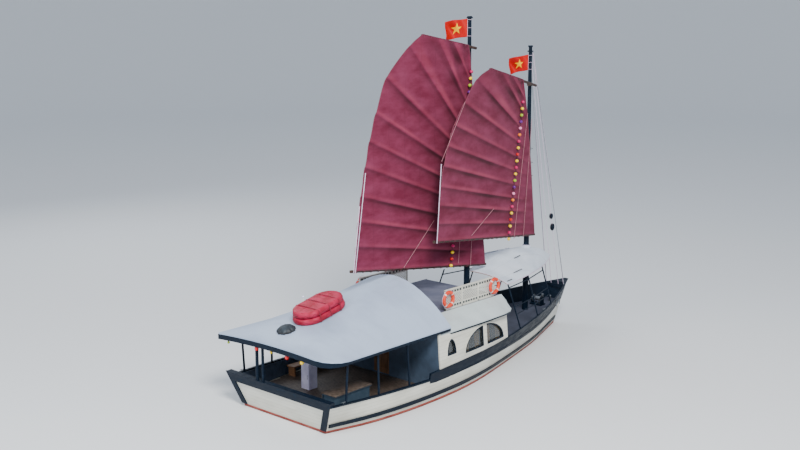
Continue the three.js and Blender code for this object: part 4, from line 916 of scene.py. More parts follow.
# %% The shape of the sheet
TENT_X = [1.95, 2.95, 4.0, 5.05, 6.1, 7.1, 8.05]
TENT_HALF = [1.98, 1.85, 1.64, 1.38, 1.02, 0.58, 0.06]
TENT_RIDGE = [3.78, 3.96, 4.16, 4.26, 4.23, 4.02, 3.56]
TENT_EDGE, ROLLED_TO = 3.5, 4.55  # height of the side rails, and where the rolled quarter ends
SAG, PUCKER = 0.03, 0.004  # dip between two hoops, and puckers along the side rails


def smooth_through(x, places, values):
    """A smooth curve through values at rising places."""
    k = min(max(int(np.searchsorted(places, x)) - 1, 0), len(places) - 2)
    u = (x - places[k]) / (places[k + 1] - places[k])
    here, there = values[k], values[k + 1]
    before = values[k - 1] if k else 2 * here - there
    after = values[k + 2] if k + 2 < len(values) else 2 * there - here
    bend = 2 * before - 5 * here + 4 * there - after + u * (3 * (here - there) + after - before)
    return here + 0.5 * u * (there - before + u * bend)


def tent_half(x):
    return smooth_through(x, TENT_X, TENT_HALF)


def tent_z(x, y):
    ridge = smooth_through(x, TENT_X, TENT_RIDGE)
    return TENT_EDGE + (ridge - TENT_EDGE) * (1 - min(1.0, abs(y) / tent_half(x)) ** 3)


def sheet_point(x, share_across, dip=True):
    """A point of the sheet. Its port edge slants inboard aft, where the quarter is rolled up."""
    half = tent_half(x)
    reach = min(half, 0.12 + max(0.0, x - 2.0) * 0.541) if x < ROLLED_TO else half
    y = -half + (half + reach) * share_across
    gap = float(np.interp(x, TENT_X, range(len(TENT_X)))) % 1.0
    sag = SAG * math.sin(math.pi * gap) ** 2 * (1 - (abs(y) / half) ** 6) if dip else 0.0
    pull = PUCKER * math.sin(31 * x) * (abs(y) / half) ** 4 if dip else 0.0
    return (x, y, tent_z(x, y) - 0.004 - sag + pull)


print("tent:", round(2 * tent_half(TENT_X[0]), 2), "m wide at its after edge")

# %% The sheet
MAST_X, MAST_HOLE = RIGS["fore"]["x"], 0.21
TENT_SPAN = (TENT_X[0], TENT_X[-1])
points, faces = patch([[sheet_point(x, u) for u in steps(0, 1, 72)] for x in steps(*TENT_SPAN, 150)])
clear = []
for corners, mark in faces:
    x, y = (np.mean([points[i][axis] for i in corners]) for axis in (0, 1))
    if math.hypot(x - MAST_X, y) > MAST_HOLE:
        clear.append((corners, mark))
tent = piece("foredeck_tent_sheet", [(points, clear)], [canvas], ["foredeck_tent"], 180)
thicken(tent, 0.005)

# %% The roll, the hoops and the edge ropes
roll_start, roll_end = (np.array([x, y, tent_z(x, y) + 0.06]) for x, y in ((4.45, 1.16), (5.9, 0.78)))


def spiral(radius):
    """A section of rolled canvas, which grows by 11.5 mm for each radian."""
    turns = [(radius + 0.0115 * t, t) for t in np.arange(0, 1.75 * math.pi, 0.2)]
    return [(far * math.cos(t), far * math.sin(t)) for far, t in turns]


roll_path = [toward(roll_start, roll_end, u) for u in steps(0, 1, 24)]
pinch = [1.0 - 0.16 * max(0.0, 1 - abs((u * 3) % 1 - 0.5) * 7) for u in steps(0, 1, 24)]
rolled = carried(roll_path, spiral(0.035) + spiral(0.027)[::-1], sizes=pinch)
roll = piece("foredeck_tent_roll", [rolled], [canvas], sharp=60)
ahead = (roll_end - roll_start) / np.linalg.norm(roll_end - roll_start)
cross = np.cross(ahead, (0, 0, 1))
upward = np.cross(cross, ahead)
TIE_R = 0.094
trim = []
for u in (1 / 6, 0.5, 5 / 6):
    trim.append(hoop(toward(roll_start, roll_end, u), cross * TIE_R, upward * TIE_R, 0.009, 6, 24))
for u in (0, 1):
    trim.append(rope([sheet_point(x, u) for x in steps(*TENT_SPAN, 60)], 0.014, 8))
trim.append(rope([sheet_point(TENT_X[0], u) for u in steps(0, 1, 24)], 0.014, 8))
for x in TENT_X[:-1]:
    rib = [sheet_point(x, u) for u in steps(0.01, 0.99, 30)]
    rib = [(a, b, c - 0.022) for a, b, c in rib if math.hypot(a - MAST_X, b) > 0.18]
    trim.append(rope(rib, 0.014, 8, mark=1))
BOOT = [(0.25, 0.002), (0.235, 0.012), (0.2, 0.05), (0.175, 0.09), (0.168, 0.13)]  # radius and rise
boot_z = tent_z(MAST_X, 0.0)
boot = [[(MAST_X + r * math.cos(t), r * math.sin(t), boot_z + lift) for t in steps(0, 2 * math.pi, 40)]
        for r, lift in BOOT]
trim += [patch(boot, mark=2), level_hoop((MAST_X, 0, boot_z + 0.11), 0.178, 0.008, 6, 32)]
trim_finishes = [tins["rope_polyester_pale"], tins["bamboo_weathered"], canvas]
tent_trim = piece("foredeck_tent_trim", trim, trim_finishes)
print("tent trim:", len(trim), "ropes, hoops and ties")

# %% [markdown]
# ## The sundeck rails
# Each rail is white timber: a rounded top rail on four posts, and between them lattice panels of crossed
# slats. A board with a row of dark slots runs above and below the lattice; the slots are blocks of the dark
# enamel, 2 mm proud, a painted shade for the dark seen through open slots. A picture of a lattice would
# look flat from the side, so every slat is a thin stick of its own, 30 mm wide and 8 mm thick, and the slats
# lie 80 mm apart.

# %% Rails with lattice
RAIL_Y, RAIL_FOOT, RAIL_TOP = 2.06, 3.2003, 4.07
PANEL_LOW, PANEL_HIGH, FOOT_BOARD = 3.4, 3.88, 3.2903
POST_HALF, SLOT_PITCH, SLAT_PITCH = 0.03, 0.165, 0.08
TOP_RAIL = [(-0.045, -0.02), (-0.035, -0.03), (0.035, -0.03), (0.045, -0.02), (0.045, 0.016), (0.03, 0.03),
            (-0.03, 0.03), (-0.045, 0.016)]


def lattice(x0, x1, z0, z1, y):
    sticks = []
    for lean, off in ((1, -0.0045), (-1, 0.0045)):
        foot_z = z0 if lean > 0 else z1
        for start in np.arange(x0 - (z1 - z0), x1, SLAT_PITCH * math.sqrt(2)):
            left, right = max(start, x0), min(start + z1 - z0, x1)
            if right - left >= 0.03:
                path = [(x, y + off, foot_z + lean * (x - start)) for x in (left, right)]
                sticks.append(carried(path, bar(0.004, 0.015), across=(0, 1, 0)))
    return sticks


def rail_form(x0, x1, side):
    y = side * RAIL_Y
    posts = steps(x0 + POST_HALF, x1 - POST_HALF, 3)

    def board(left, right, half, low, high, edge, mark=0):
        return block((left, y - half, low), (right, y + half, high), edge, mark)

    parts = []
    for x in posts:
        parts.append(board(x - POST_HALF, x + POST_HALF, POST_HALF, RAIL_FOOT, RAIL_TOP - 0.02, 0.005))
    parts.append(carried([(x, y, RAIL_TOP - 0.03) for x in (x0, x1)], TOP_RAIL, across=(0, 1, 0)))
    parts.append(board(x0, x1, 0.03, RAIL_FOOT, FOOT_BOARD, 0.006))
    for left, right in zip(posts, posts[1:]):
        left, right = left + POST_HALF, right - POST_HALF
        parts += [board(left, right, 0.014, z, z + 0.04, 0.004) for z in (PANEL_LOW, PANEL_HIGH - 0.04)]
        parts += lattice(left, right, PANEL_LOW + 0.02, PANEL_HIGH - 0.02, y)
        slots = int((right - left) / SLOT_PITCH)
        for low, high in ((PANEL_HIGH, RAIL_TOP - 0.06), (FOOT_BOARD, PANEL_LOW)):
            parts.append(board(left, right, 0.012, low, high, 0.004))
            middle = (low + high) / 2
            for i in range(slots):
                x = left + (right - left) * (i + 0.5) / slots
                # Each slot is a dark block: painted shade standing for an open slot.
                parts.append(board(x - 0.052, x + 0.052, 0.014, middle - 0.042, middle + 0.042, 0.002, 1))
    return parts


for (word, side), (x0, x1) in zip(SIDES, ((-2.5, 0.85), (-3.25, -0.15))):
    parts = rail_form(x0, x1, side)
    piece(f"sundeck_rail_{word}_lattice", parts, [white_enamel, dark_enamel],
          [f"sundeck_rail_{word}"], 30)
    print(word, "rail:", len(parts), "sticks and boards")

# %% [markdown]
# ## Lifebuoys and floats
# A lifebuoy is a moulded orange ring with four bands of white reflective tape and a grab line round it.
# The ring is a round section carried round a circle, a hair under the size of the solid that it replaces,
# and the tape lies on it as short arcs of a slightly wider section. The grab line bows out between the
# bands.

# %% Lifebuoys
BUOY_R, BUOY_THICK, BUOY_Z = 0.29, 0.073, 3.69
BUOY_OFF, TAPE_THICK = 0.1121, 0.0752  # from the rail's middle to the ring's, and radius of the tape
LINE_R, LINE_BOW = 0.372, 0.035
BUOY_FINISHES = ("polyethylene_orange", "tape_reflective_white", "rope_polyester_pale", "zinc_galvanised")


def lifebuoy_form(x, side):
    y = side * (RAIL_Y + BUOY_OFF)

    def on_buoy(radius, turn):
        return (x + radius * math.cos(turn), y, BUOY_Z + radius * math.sin(turn))

    parts = [hoop((x, y, BUOY_Z), (BUOY_R, 0, 0), (0, 0, BUOY_R), BUOY_THICK, 20, 72)]
    for i in range(4):
        turn = math.pi / 4 + i * math.pi / 2
        band = [on_buoy(BUOY_R, t) for t in steps(turn - 0.08, turn + 0.08, 10)]
        parts.append(carried(band, round_section(TAPE_THICK, 20), across=(0, 1, 0), mark=1))
    turns = [2 * math.pi * i / 96 for i in range(96)]
    line = [on_buoy(LINE_R + LINE_BOW * abs(math.sin(2 * (t - math.pi / 4))) ** 0.7, t) for t in turns]
    hook = [(x, side * (RAIL_Y + 0.015), 4.0), (x, y - side * 0.02, 3.99), (x, y + side * 0.04, 3.86),
            (x, y + side * 0.05, 3.9)]
    return [*parts, loop(line, 0.0065, 2, (0, 1, 0)), rope(hook, 0.007, 8, mark=3)]


for name, x, side in (("starboard_aft", -2.38, -1), ("starboard_fore", 0.72, -1), ("port", -3.0, 1)):
    piece(f"lifebuoy_{name}_ring", lifebuoy_form(x, side), [tins[finish] for finish in BUOY_FINISHES],
          [f"lifebuoy_{name}"])
print("lifebuoys: 3, with 4 bands each")

# %% [markdown]
# Two oblong floats lie stacked on the aft roof. Each is a block of foam sewn into red vinyl-coated cloth,
# with a piped seam round its upper and lower edge, a grab line looped along its side, and straps over the
# stack. The cloth is quilted: it swells into pillows along the sides and sinks at the tufts on top.

# %% Red vinyl cloth, and points on the roof
vinyl_red = start_finish("vinyl_cloth_red", Roughness=0.5, IOR=1.5, Specular_IOR_Level=0.35)
sunned = noise(vinyl_red, 3.5, 6.0)
feed(vinyl_red, "Base Color", mottled(vinyl_red, sunned, 0.38, 0.7, "#8E0A28", "#B4224A"))
relief(vinyl_red, noise(vinyl_red, 90.0), 0.35, 0.002)

ROOF_AFT, ROOF_FRONT, ROOF_HALF, ROOF_EAVE, ROOF_CORNER, ROOF_RISE = -10.1, -3.4, 3.15, 2.93, 0.9, 1.49
ROOF_RISE_AFT = 0.13  # the arch of the roof at its after end; ROOF_RISE is what it gains forward
ROOF_UNDER = 0.0605  # how far the roof's under side lies below its top
ROOF_SLOPE = math.atan(ROOF_RISE / (ROOF_FRONT - ROOF_AFT))


def roof_z(x, y):
    rise = ROOF_RISE_AFT + ROOF_RISE * (x - ROOF_AFT) / (ROOF_FRONT - ROOF_AFT)
    return ROOF_EAVE + rise * (1 - min(1.0, abs(y) / ROOF_HALF) ** 1.92)


def on_roof(place, a, b, lift):
    """A point of a frame that lies on the slope of the roof at a place."""
    along, up = math.cos(ROOF_SLOPE), math.sin(ROOF_SLOPE)
    return (place[0] + a * along - lift * up, place[1] + b, place[2] + a * up + lift * along)


print("roof slope:", round(math.degrees(ROOF_SLOPE), 1), "degrees")

# %% Floats on the aft roof
LAYERS = [(0.012, 0.3), (0.0, 0.12), (0.012, 0.05), (0.04, 0.016), (0.075, 0.004), (0.13, -0.004),
          (0.185, 0.004), (0.22, 0.016), (0.248, 0.05)]  # height and how far the float's outline is drawn in
LAYERS += [(0.259, 0.12 + 0.08 * i) for i in range(7)]
PILLOW, TUFT, QUILT = 0.012, 0.022, 0.3  # swell of the sides as a share, depth of a tuft, and its pitch


def oblong(long, wide, inset, count=96):
    """Points round a long shape with half-round ends, drawn in by inset."""
    radius, straight = wide / 2 - inset, (long - wide) / 2
    round_end, points = math.pi * radius, []
    total = 2 * round_end + 4 * straight
    for i in range(count):
        d = (total * i / count + straight) % total
        way = 1 if d < 2 * straight + round_end else -1
        if way < 0:
            d -= 2 * straight + round_end
        if d < 2 * straight:
            points.append((way * (straight - d), way * radius))
        else:
            t = (d - 2 * straight) / radius
            points.append((-way * (straight + radius * math.sin(t)), way * radius * math.cos(t)))
    return points


def float_form(place, lift, long, wide):
    rings = []
    for height, inset in LAYERS:
        ring = []
        for i, (a, b) in enumerate(oblong(long, wide, inset)):
            swell = 1 + (PILLOW * abs(math.sin(math.pi * i / 8)) if 0.03 < height < 0.23 else 0.0)
            quilt = math.cos(2 * math.pi * a / QUILT) * math.cos(2 * math.pi * b / QUILT)
            tuft = TUFT * quilt ** 2 if height > 0.25 else 0.0
            ring.append(on_roof(place, a * swell, b * swell, lift + height - tuft))
        rings.append(ring + [ring[0]])
    points, faces = patch(rings)
    wide_row = len(rings[0])
    last = (len(rings) - 1) * wide_row
    faces += [(tuple(range(wide_row - 1)), 0), (tuple(range(last, last + wide_row - 1))[::-1], 0)]
    parts = [(points, faces)]
    for height in (0.045, 0.215):
        seam = [on_roof(place, a, b, lift + height) for a, b in oblong(long, wide, 0.012)]
        parts.append(loop(seam, 0.009))
    grab = [on_roof(place, a, b, lift + 0.15 - 0.07 * abs(math.sin(math.pi * i / 12)))
            for i, (a, b) in enumerate(oblong(long, wide, -0.014, 192))]
    return [*parts, loop(grab, 0.008, 1)]


place = (-7.35, 0.3, roof_z(-7.35, 0) - 0.012)
for word, lift, long, wide in (("lower", 0.0, 2.35, 1.35), ("upper", 0.2603, 2.25, 1.28)):
    parts = float_form(place, lift, long, wide)
    piece(f"life_float_{word}_cover", parts, [vinyl_red, tins["webbing_maroon"]],
          [f"life_float_{word}"])
STRAP = [(-0.69, 0.02), (-0.69, 0.1), (-0.675, 0.3), (-0.63, 0.5), (-0.4, 0.527)]  # from one side to the top
over = STRAP + [(-b, lift) for b, lift in STRAP[::-1]]
straps = [carried([on_roof(place, a, b, lift) for b, lift in over], bar(0.024, 0.002), across=(1, 0, 0))
          for a in (-0.55, 0.0, 0.55)]
piece("life_float_straps", straps, [tins["webbing_maroon"]], sharp=30)
print("floats: 2, straps:", len(straps))

# %% [markdown]
# Aft of the floats a dark tarpaulin covers a round tank. The cloth is tied round its foot, so folds run
# down from the crown and widen to the rim. Moving the points of a dome in and out by a wave that grows
# downwards gives those folds.

# %% Tarpaulin cover
COVER_X, COVER_Y, COVER_R, COVER_HIGH, COVER_FOLD = -9.0, 0.42, 0.36, 0.238, 0.018
cover_place = (COVER_X, COVER_Y, roof_z(COVER_X, COVER_Y) - 0.015)


def on_cover(radius, turn, lift):
    return on_roof(cover_place, radius * math.cos(turn), radius * math.sin(turn), lift)


rings = []
for tilt in steps(0, math.pi / 2, 14):
    ring = []
    for t in steps(0, 2 * math.pi, 96):
        fold = COVER_FOLD * math.sin(tilt) ** 2 * (math.sin(9 * t) + 0.5 * math.sin(17 * t + 1.0))
        ring.append(on_cover(COVER_R * math.sin(tilt) + fold, t, COVER_HIGH * math.cos(tilt) ** 0.8))
    rings.append(ring)
tie = [on_cover(COVER_R + 0.006, 2 * math.pi * i / 64, 0.075) for i in range(64)]
piece("roof_cover_tarpaulin", [patch(rings), loop(tie, 0.009, 1)],
      [tins["tarpaulin_grey"], tins["rope_tarred_dark"]], ["roof_cover"], 120)
print("cover:", len(rings) * len(rings[0]), "points")

# %% [markdown]
# ## Dark edges of the roofs
# A dark board runs under the edge of every roof and makes its line crisp. It follows the edge of the
# solid: along the starboard side, round the starboard quarter, across the stern to the square port
# corner, up the port side, and over the arch at the front. Round the stern it is twice as deep.

# %% Fascia boards
edge = [(x, -ROOF_HALF) for x in steps(ROOF_FRONT - 0.01, ROOF_AFT + ROOF_CORNER, 24)]
for t in steps(0, math.pi / 2, 12)[1:]:
    edge.append((ROOF_AFT + ROOF_CORNER * (1 - math.sin(t)), -(ROOF_HALF - ROOF_CORNER * (1 - math.cos(t)))))
edge += [(ROOF_AFT, y) for y in steps(-(ROOF_HALF - ROOF_CORNER), ROOF_HALF, 40)[1:]]
port_edge = [(x, ROOF_HALF) for x in steps(ROOF_AFT, ROOF_FRONT - 0.01, 30)]
BOARD_DEEP, BOARD_MORE, DEEPER_FROM, DEEPER_OVER = 0.105, 0.1, -9.2, 0.85  # depth, gain, its start and span


def board_along(edge, thick=0.03, inset=0.006):
    """An upright board under the roof's edge; its top follows the roof, and it deepens aft."""
    flat = np.array(edge, float)
    ahead = np.gradient(flat, axis=0)
    ahead /= np.linalg.norm(ahead, axis=1)[:, None]
    inward = np.column_stack([ahead[:, 1], -ahead[:, 0]])
    if (flat[0] + inward[0])[1] < flat[0][1]:
        inward = -inward
    rows = []
    for at, way in zip(flat, inward):
        top = roof_z(*at) - ROOF_UNDER
        foot = top - BOARD_DEEP - BOARD_MORE * min(max((DEEPER_FROM - at[0]) / DEEPER_OVER, 0.0), 1.0)
        outer, inner = at + way * inset, at + way * (inset + thick)
        rows.append([(*outer, foot), (*outer, top), (*inner, top), (*inner, foot), (*outer, foot)])
    return patch(rows)


arch_x = ROOF_FRONT - 0.04
arch = [(arch_x, y, roof_z(arch_x, y) - 0.12) for y in steps(-3.0, 3.0, 48)]
parts = [board_along(edge), board_along(port_edge), carried(arch, bar(0.02, 0.05), across=(1, 0, 0))]
EAVE_Y, EAVE_Z = 3.058, 2.616  # edge of the low roofs beside the sundeck
SKIRT_EDGE = [(-3.95, 0.0), (-2.5, 0.0), (-0.9, 0.01), (0.4, 0.06), (0.9, 0.16), (1.15, 0.3), (1.3, 0.52)]
for _, side in SIDES:
    eave = [(x, side * (EAVE_Y - inset), EAVE_Z) for x, inset in SKIRT_EDGE]
    parts.append(carried(eave, bar(0.012, 0.033), across=(0, 1, 0)))
piece("roof_fascia_boards", parts, [dark_enamel], sharp=30)
ribs = []
for x in np.arange(-9.4, -3.6, 0.8):
    rib = [(x, y, roof_z(x, y) - 0.105) for y in steps(-2.9, 2.9, 40)]
    ribs.append(carried(rib, bar(0.025, 0.04), across=(1, 0, 0)))
piece("roof_ribs", ribs, [teak["along"]], sharp=30)
print("fascia:", len(parts), "boards and", len(ribs), "ribs")

# %% [markdown]
# ## Windows
# Each side has a wide arched window with a white post in its middle, and a narrow arched light aft of it.
# A white moulding stands 18 mm proud of the wall round every pane, with a dark sash 68 mm wide inside it.
# The wall leans in, so a small function gives its outer face at any height, from the same stations as the
# hull. Behind the panes hang ochre curtains, and dark panelling stands half a metre further in: a painted
# shade that keeps the cabin dark behind the glass.

# %% Where the hull and the wall are
HULL_SHARE = [i / 10 for i in range(11)]
HULL_WATER = [2.26, 2.76, 2.98, 3.02, 2.93, 2.65, 2.23, 1.78, 1.3, 0.68, 0.06]
HULL_SHEER = [2.85, 3.04, 3.16, 3.2, 3.13, 2.98, 2.71, 2.3, 1.74, 1.02, 0.07]
HULL_TOP = [1.33, 1.25, 1.23, 1.33, 1.38, 1.43, 1.53, 1.64, 1.76, 1.91, 2.06]
HULL_BAND = [1.17, 1.08, 1.01, 0.84, 0.93, 1.0, 1.03, 1.05, 1.09, 1.15, 1.23]
STATIONS = 24
STERN_X, STERN_RAKE, STEM_X, STEM_RAKE = -9.6, 0.245, 8.5, 0.57
WALL_TOP, WALL_LEAN = 2.79, 0.12


def hull_value(t, values):
    """The faired value at a share t of the hull's length, straight between equal stations."""
    place = min(max(t, 0.0), 1.0) * STATIONS
    k = min(int(place), STATIONS - 1)
    low, high = (smooth_through(i / STATIONS, HULL_SHARE, values) for i in (k, k + 1))
    return low + (high - low) * (place - k)


def hull_ends(z):
    """Where the raked stern and stem stand at a height."""
    return STERN_X - STERN_RAKE * z, STEM_X + STEM_RAKE * z


def hull_share(x, z):
    stern, stem = hull_ends(z)
    return (x - stern) / (stem - stern)


def aft_cap_z(x, z):
    """Height of the aft bulwark's top, which falls towards the bow; z is about that height."""
    return 1.23 - 0.65 * hull_share(x, z)


def hull_y(x, z):
    """Half-breadth of the hull's side above the water."""
    t = hull_share(x, z)
    water, sheer, top = (hull_value(t, values) for values in (HULL_WATER, HULL_SHEER, HULL_TOP))
    return water + (sheer - water) / top * z


def wall_y(x, z):
    t = hull_share(x, 1.35)
    foot_z = hull_value(t, HULL_TOP) - 0.04
    return hull_value(t, HULL_SHEER) - 0.005 - WALL_LEAN * (z - foot_z) / (WALL_TOP - foot_z)


print("half-breadth at the cabin window:", round(wall_y(-0.95, 1.9), 3), "m")

# %% [markdown]
# Under the dark bulwark a dark wale, a thick plank, runs along the topsides. It is widest abreast of the
# foredeck and thins out aft, which gives the side its sweep.

# %% The wale
WALE_X = [-3.4, -1.5, 0.0, 2.0, 4.0, 6.0, 7.5, 9.0]
WALE_WIDE = [0.0, 0.08, 0.11, 0.15, 0.19, 0.18, 0.12, 0.05]
wale = []
for _, side in SIDES:
    rows = []
    for x in steps(-3.3, 9.0, 90):
        top = hull_value(hull_share(x, 1.1), HULL_BAND) + 0.01
        foot = top - 0.01 - float(np.interp(x, WALE_X, WALE_WIDE))
        profile = ((top, -0.004), (top - 0.008, 0.014), (foot + 0.006, 0.014), (foot, -0.004))
        rows.append([(x, side * (hull_y(x, z) + out), z) for z, out in profile])
    wale.append(patch(rows))
piece("hull_wale", wale, [dark_enamel], sharp=30)
print("wale: widest", max(WALE_WIDE), "m")

# %% Window frames
FRAME = [(-0.004, -0.03), (0.018, -0.03), (0.018, 0.024), (-0.004, 0.03)]
SASH = [(-0.004, -0.034), (0.01, -0.034), (0.014, -0.028), (0.014, 0.028), (0.01, 0.034), (-0.004, 0.034)]
SASH_IN = 0.06  # middle of the sash from the edge of the opening
WINDOWS = ((-0.95, 1.5, 1.56, 0.94, 0.1), (-3.32, 0.33, 1.72, 0.7, 0.0))  # as window_form takes them


def on_wall(points, section, side, mark=0):
    """A moulding carried along points of the wall's outer face."""
    path = [(x, side * (wall_y(x, z) + 0.001), z) for x, z in points]
    return carried(path, [(side * a, b) for a, b in section], (0, 1, 0), mark=mark)


def arch_z(x, middle, half, sill, rise):
    return sill + rise * math.sqrt(max(0.0, 1 - ((x - middle) / half) ** 2))


def window_form(middle, half, sill, rise, post, side):
    """One arched window. half is half its width, rise its height, and post half its middle post."""
    turns = steps(0, math.pi, 40)
    bow = [(middle + half * math.cos(t), sill + rise * math.sin(t)) for t in turns]
    parts = [on_wall(bow, FRAME, side)]
    edges = [middle - post, middle + post] if post else []
    stops = [middle - half, *edges, middle + half]
    for x in edges:
        top = arch_z(x, middle, half, sill, rise)
        parts.append(on_wall([(x, z) for z in steps(sill, top, 6)], FRAME, side))
    for left, right in zip(stops[::2], stops[1::2]):
        parts.append(on_wall([(x, sill) for x in steps(left, right, 8)], FRAME, side))
        left, right, low = left + SASH_IN, right - SASH_IN, sill + SASH_IN
        pane = [(x, low) for x in steps(left, right, 6)]
        for x in steps(right, left, 30):
            pane.append((x, arch_z(x, middle, half - SASH_IN, low, rise - 2 * SASH_IN)))
        parts.append(on_wall(pane, SASH, side, 1))
    return parts


print("windows a side:", len(WINDOWS))

# %% Curtains and panelling
CURTAINS = ((-0.72, -0.38), (0.1, 0.42), (-2.3, -1.96), (-1.5, -1.18))  # after and forward edge of each
CURTAIN_LOW, CURTAIN_HIGH, CURTAIN_IN, FOLD_DEEP = 1.5, 2.4, 0.19, 0.022
PANEL_X, PANEL_IN = steps(-3.9, 0.75, 31), 0.5


def curtain_form(left, right, side):
    rows = []
    for z in steps(CURTAIN_LOW, CURTAIN_HIGH, 12):
        hang = wall_y(left, z) - CURTAIN_IN
        rows.append([(left + (right - left) * u, side * (hang + FOLD_DEEP * math.sin(10 * math.pi * u)), z)
                     for u in steps(0, 1, 60)])
    return patch(rows)


def upright_lines(inset, side):
    return [[(x, side * (wall_y(x, 1.9) - inset), z) for z in (1.3, 2.7)] for x in PANEL_X]


for word, side in SIDES:
    frames = [part for window in WINDOWS for part in window_form(*window, side)]
    piece(f"window_frames_{word}", frames, [white_enamel, dark_enamel], sharp=30)
    for i, (left, right) in enumerate(CURTAINS):
        hung = [curtain_form(left, right, side)]
        curtain = piece(f"cabin_curtain_{word}_{i + 1}", hung, [tins["curtain_ochre"]],
                        sharp=180)
    # The dark panelling is painted shade for the unlit cabin behind the glass.
    panelling = [patch(list(zip(*upright_lines(PANEL_IN, side))))]
    for line in upright_lines(PANEL_IN - 0.006, side):
        panelling.append(carried(line, bar(0.006, 0.012), (0, 1, 0), mark=1))
    piece(f"cabin_panelling_{word}", panelling, [tins["dark_wood_painted_shade"], teak["upright"]],
          sharp=30)
    print(word, "windows:", len(frames), "frame pieces,", len(CURTAINS), "curtains")

# %% [markdown]
# ## Inside the aft deck
# The well under the aft roof is painted dark, as painted shade for the shadow of the roof: varnished planks
# underfoot, slate-blue boards up the sides, and a boarded ceiling on ribs. Planks laid side by side give
# real grooves, which a flat sheet with painted lines would not. Each floor plank starts where the narrowing
# stern leaves room for it.

# %% Floor planks of the aft deck
DECK_TOP, PLANK_WIDE, DECK_FRONT = 0.452, 0.12, -4.105
floor_planks = []
for y in np.arange(-2.88, 2.89, PLANK_WIDE):
    reach, half = abs(y) + PLANK_WIDE / 2, PLANK_WIDE / 2 - 0.003
    start = next((x for x in steps(-9.47, -4.2, 60) if hull_y(x, DECK_TOP) - 0.115 > reach), None)
    if start is not None:
        low, high = (start, y - half, DECK_TOP), (DECK_FRONT, y + half, DECK_TOP + 0.01)
        floor_planks.append(block(low, high, 0.002))
# Dark floor planks: painted shade for the shadow under the aft roof.
piece("aft_deck_planking", floor_planks, [tins["dark_wood_painted_shade"]], sharp=30)
print("floor planks:", len(floor_planks))

# %% Boards up the sides and the stern, and the ceiling
BOARD_PITCH, BOARD_WIDE, BOARD_THICK = 0.15, 0.144, 0.012
INNER = 0.104  # how far the linings stand inside the hull's outer face
CEILING_PITCH, CEILING_HALF = 0.13, 0.062
boards = []
for _, side in SIDES:
    top_edge = []
    for x in np.arange(-9.35, -4.2, BOARD_PITCH):
        open_side = x < -4.75
        top = aft_cap_z(x, 1.1) - 0.065 if open_side else 0.82
        rows = []
        for z in steps(0.4625, top, 4):
            aft, fore = (hull_y(x + d, z) - INNER for d in (0.0, BOARD_WIDE))
            rows.append([(x, side * aft, z), (x, side * (aft - BOARD_THICK), z),
                         (x + BOARD_WIDE, side * (fore - BOARD_THICK), z), (x + BOARD_WIDE, side * fore, z)])
        boards.append(patch(rows))
        if open_side:
            top_edge.append((x, side * (aft - 0.01), top))
    boards.append(carried(top_edge, bar(0.02, 0.012), across=(0, 1, 0)))
for y in np.arange(-2.15, 2.16, BOARD_PITCH):
    left, right = y - BOARD_WIDE / 2, y + BOARD_WIDE / 2
    rows = []
    for z in steps(0.47, 1.1, 4):
        stern, stem = hull_ends(z)
        inner = stern + 0.012 * (stem - stern) + 0.004
        rows.append([(inner, left, z), (inner + BOARD_THICK, left, z), (inner + BOARD_THICK, right, z),
                     (inner, right, z)])
    boards.append(patch(rows))
# Slate-blue boards: painted shade for the shadow under the aft roof.
piece("aft_deck_linings", boards, [tins["slate_blue_painted_shade"]], sharp=30)
ceiling = []
for x in np.arange(-9.75, -3.65, CEILING_PITCH):
    starboard_end = -2.93 if x < -9.2 else -3.05  # the starboard corner is rounded
    middle = x + CEILING_HALF
    board = [(middle, y, roof_z(middle, y) - 0.069) for y in steps(starboard_end, 3.05, 40)]
    ceiling.append(carried(board, bar(CEILING_HALF, 0.004), across=(1, 0, 0.2)))
# Dark ceiling boards: painted shade under the aft roof.
piece("aft_roof_ceiling", ceiling, [tins["dark_wood_painted_shade"]], sharp=30)
print("boards:", len(boards), "ceiling boards:", len(ceiling))

# %% [markdown]
# Small dark and pale fittings finish the stern: two posts from the transom to the roof, a row of little
# lamps under its edge, a slim pale post on top. The counter and the locker are plain solids, so drawer
# fronts, a worktop, door leaves and handles go on them as thin mouldings.

# %% Stern posts, lamps and the post on the roof
POST_X, LAMP_X, ROD_TOP = -9.9, -10.0, 0.309
posts = []
for y, radius in ((0.8, 0.055), (1.13, 0.065)):
    top = roof_z(POST_X, y) - ROOF_UNDER
    posts.append(rope([(POST_X, y, z) for z in steps(1.4, top, 6)], radius, 16))
    posts.append(level_hoop((POST_X, y, 1.43), radius, 0.012))
piece("stern_posts", posts, [dark_enamel])
lamps = []
for y, size, shade in ((2.68, 0.6, 3), (1.02, 1.0, 1), (0.2, 0.6, 2), (-0.68, 1.0, 1), (-1.49, 0.9, 2)):
    z = roof_z(LAMP_X, y) - 0.37
    rod = [(LAMP_X, y, z + lift) for lift in (0.07 * size, 0.1 * size, 0.12 * size, ROD_TOP)]
    lamps.append(rope(rod, 0.04 * size, 12, sizes=[1.0, 1.0, 0.25, 0.25]))
    lamps.append(ball((LAMP_X, y, z), (0.085 * size, 0.085 * size, 0.09 * size), mark=shade))
lamp_shades = [ball_plastics[name] for name in ("scarlet", "yellow", "lime")]
piece("stern_lamps", lamps, [tins["rubber_black"], *lamp_shades])
pole_x, pole_y = -6.36, 2.27
pole_z = roof_z(pole_x, pole_y)
pole = [rope([(pole_x, pole_y, pole_z - 0.002 + lift) for lift in (0, 0.02, 0.21, 0.4)], 0.022, 14,
             sizes=[2.2, 1.2, 1.0, 0.9]),
        ball((pole_x, pole_y, pole_z + 0.42), (0.05, 0.05, 0.04), mark=1)]
piece("roof_pole", pole, [white_enamel, tins["enamel_lilac"]])
print("stern: 2 posts,", len(lamps) // 2, "lamps, 1 pole")

# %% Fronts and handles on the counter and locker
def handle(start, end, out):
    """A bar handle that stands off a face by out."""
    start, end, out = (np.asarray(v, float) for v in (start, end, out))
    return rope([start, start + out, (start + end) / 2 + out, end + out, end], 0.007, 8, mark=1)


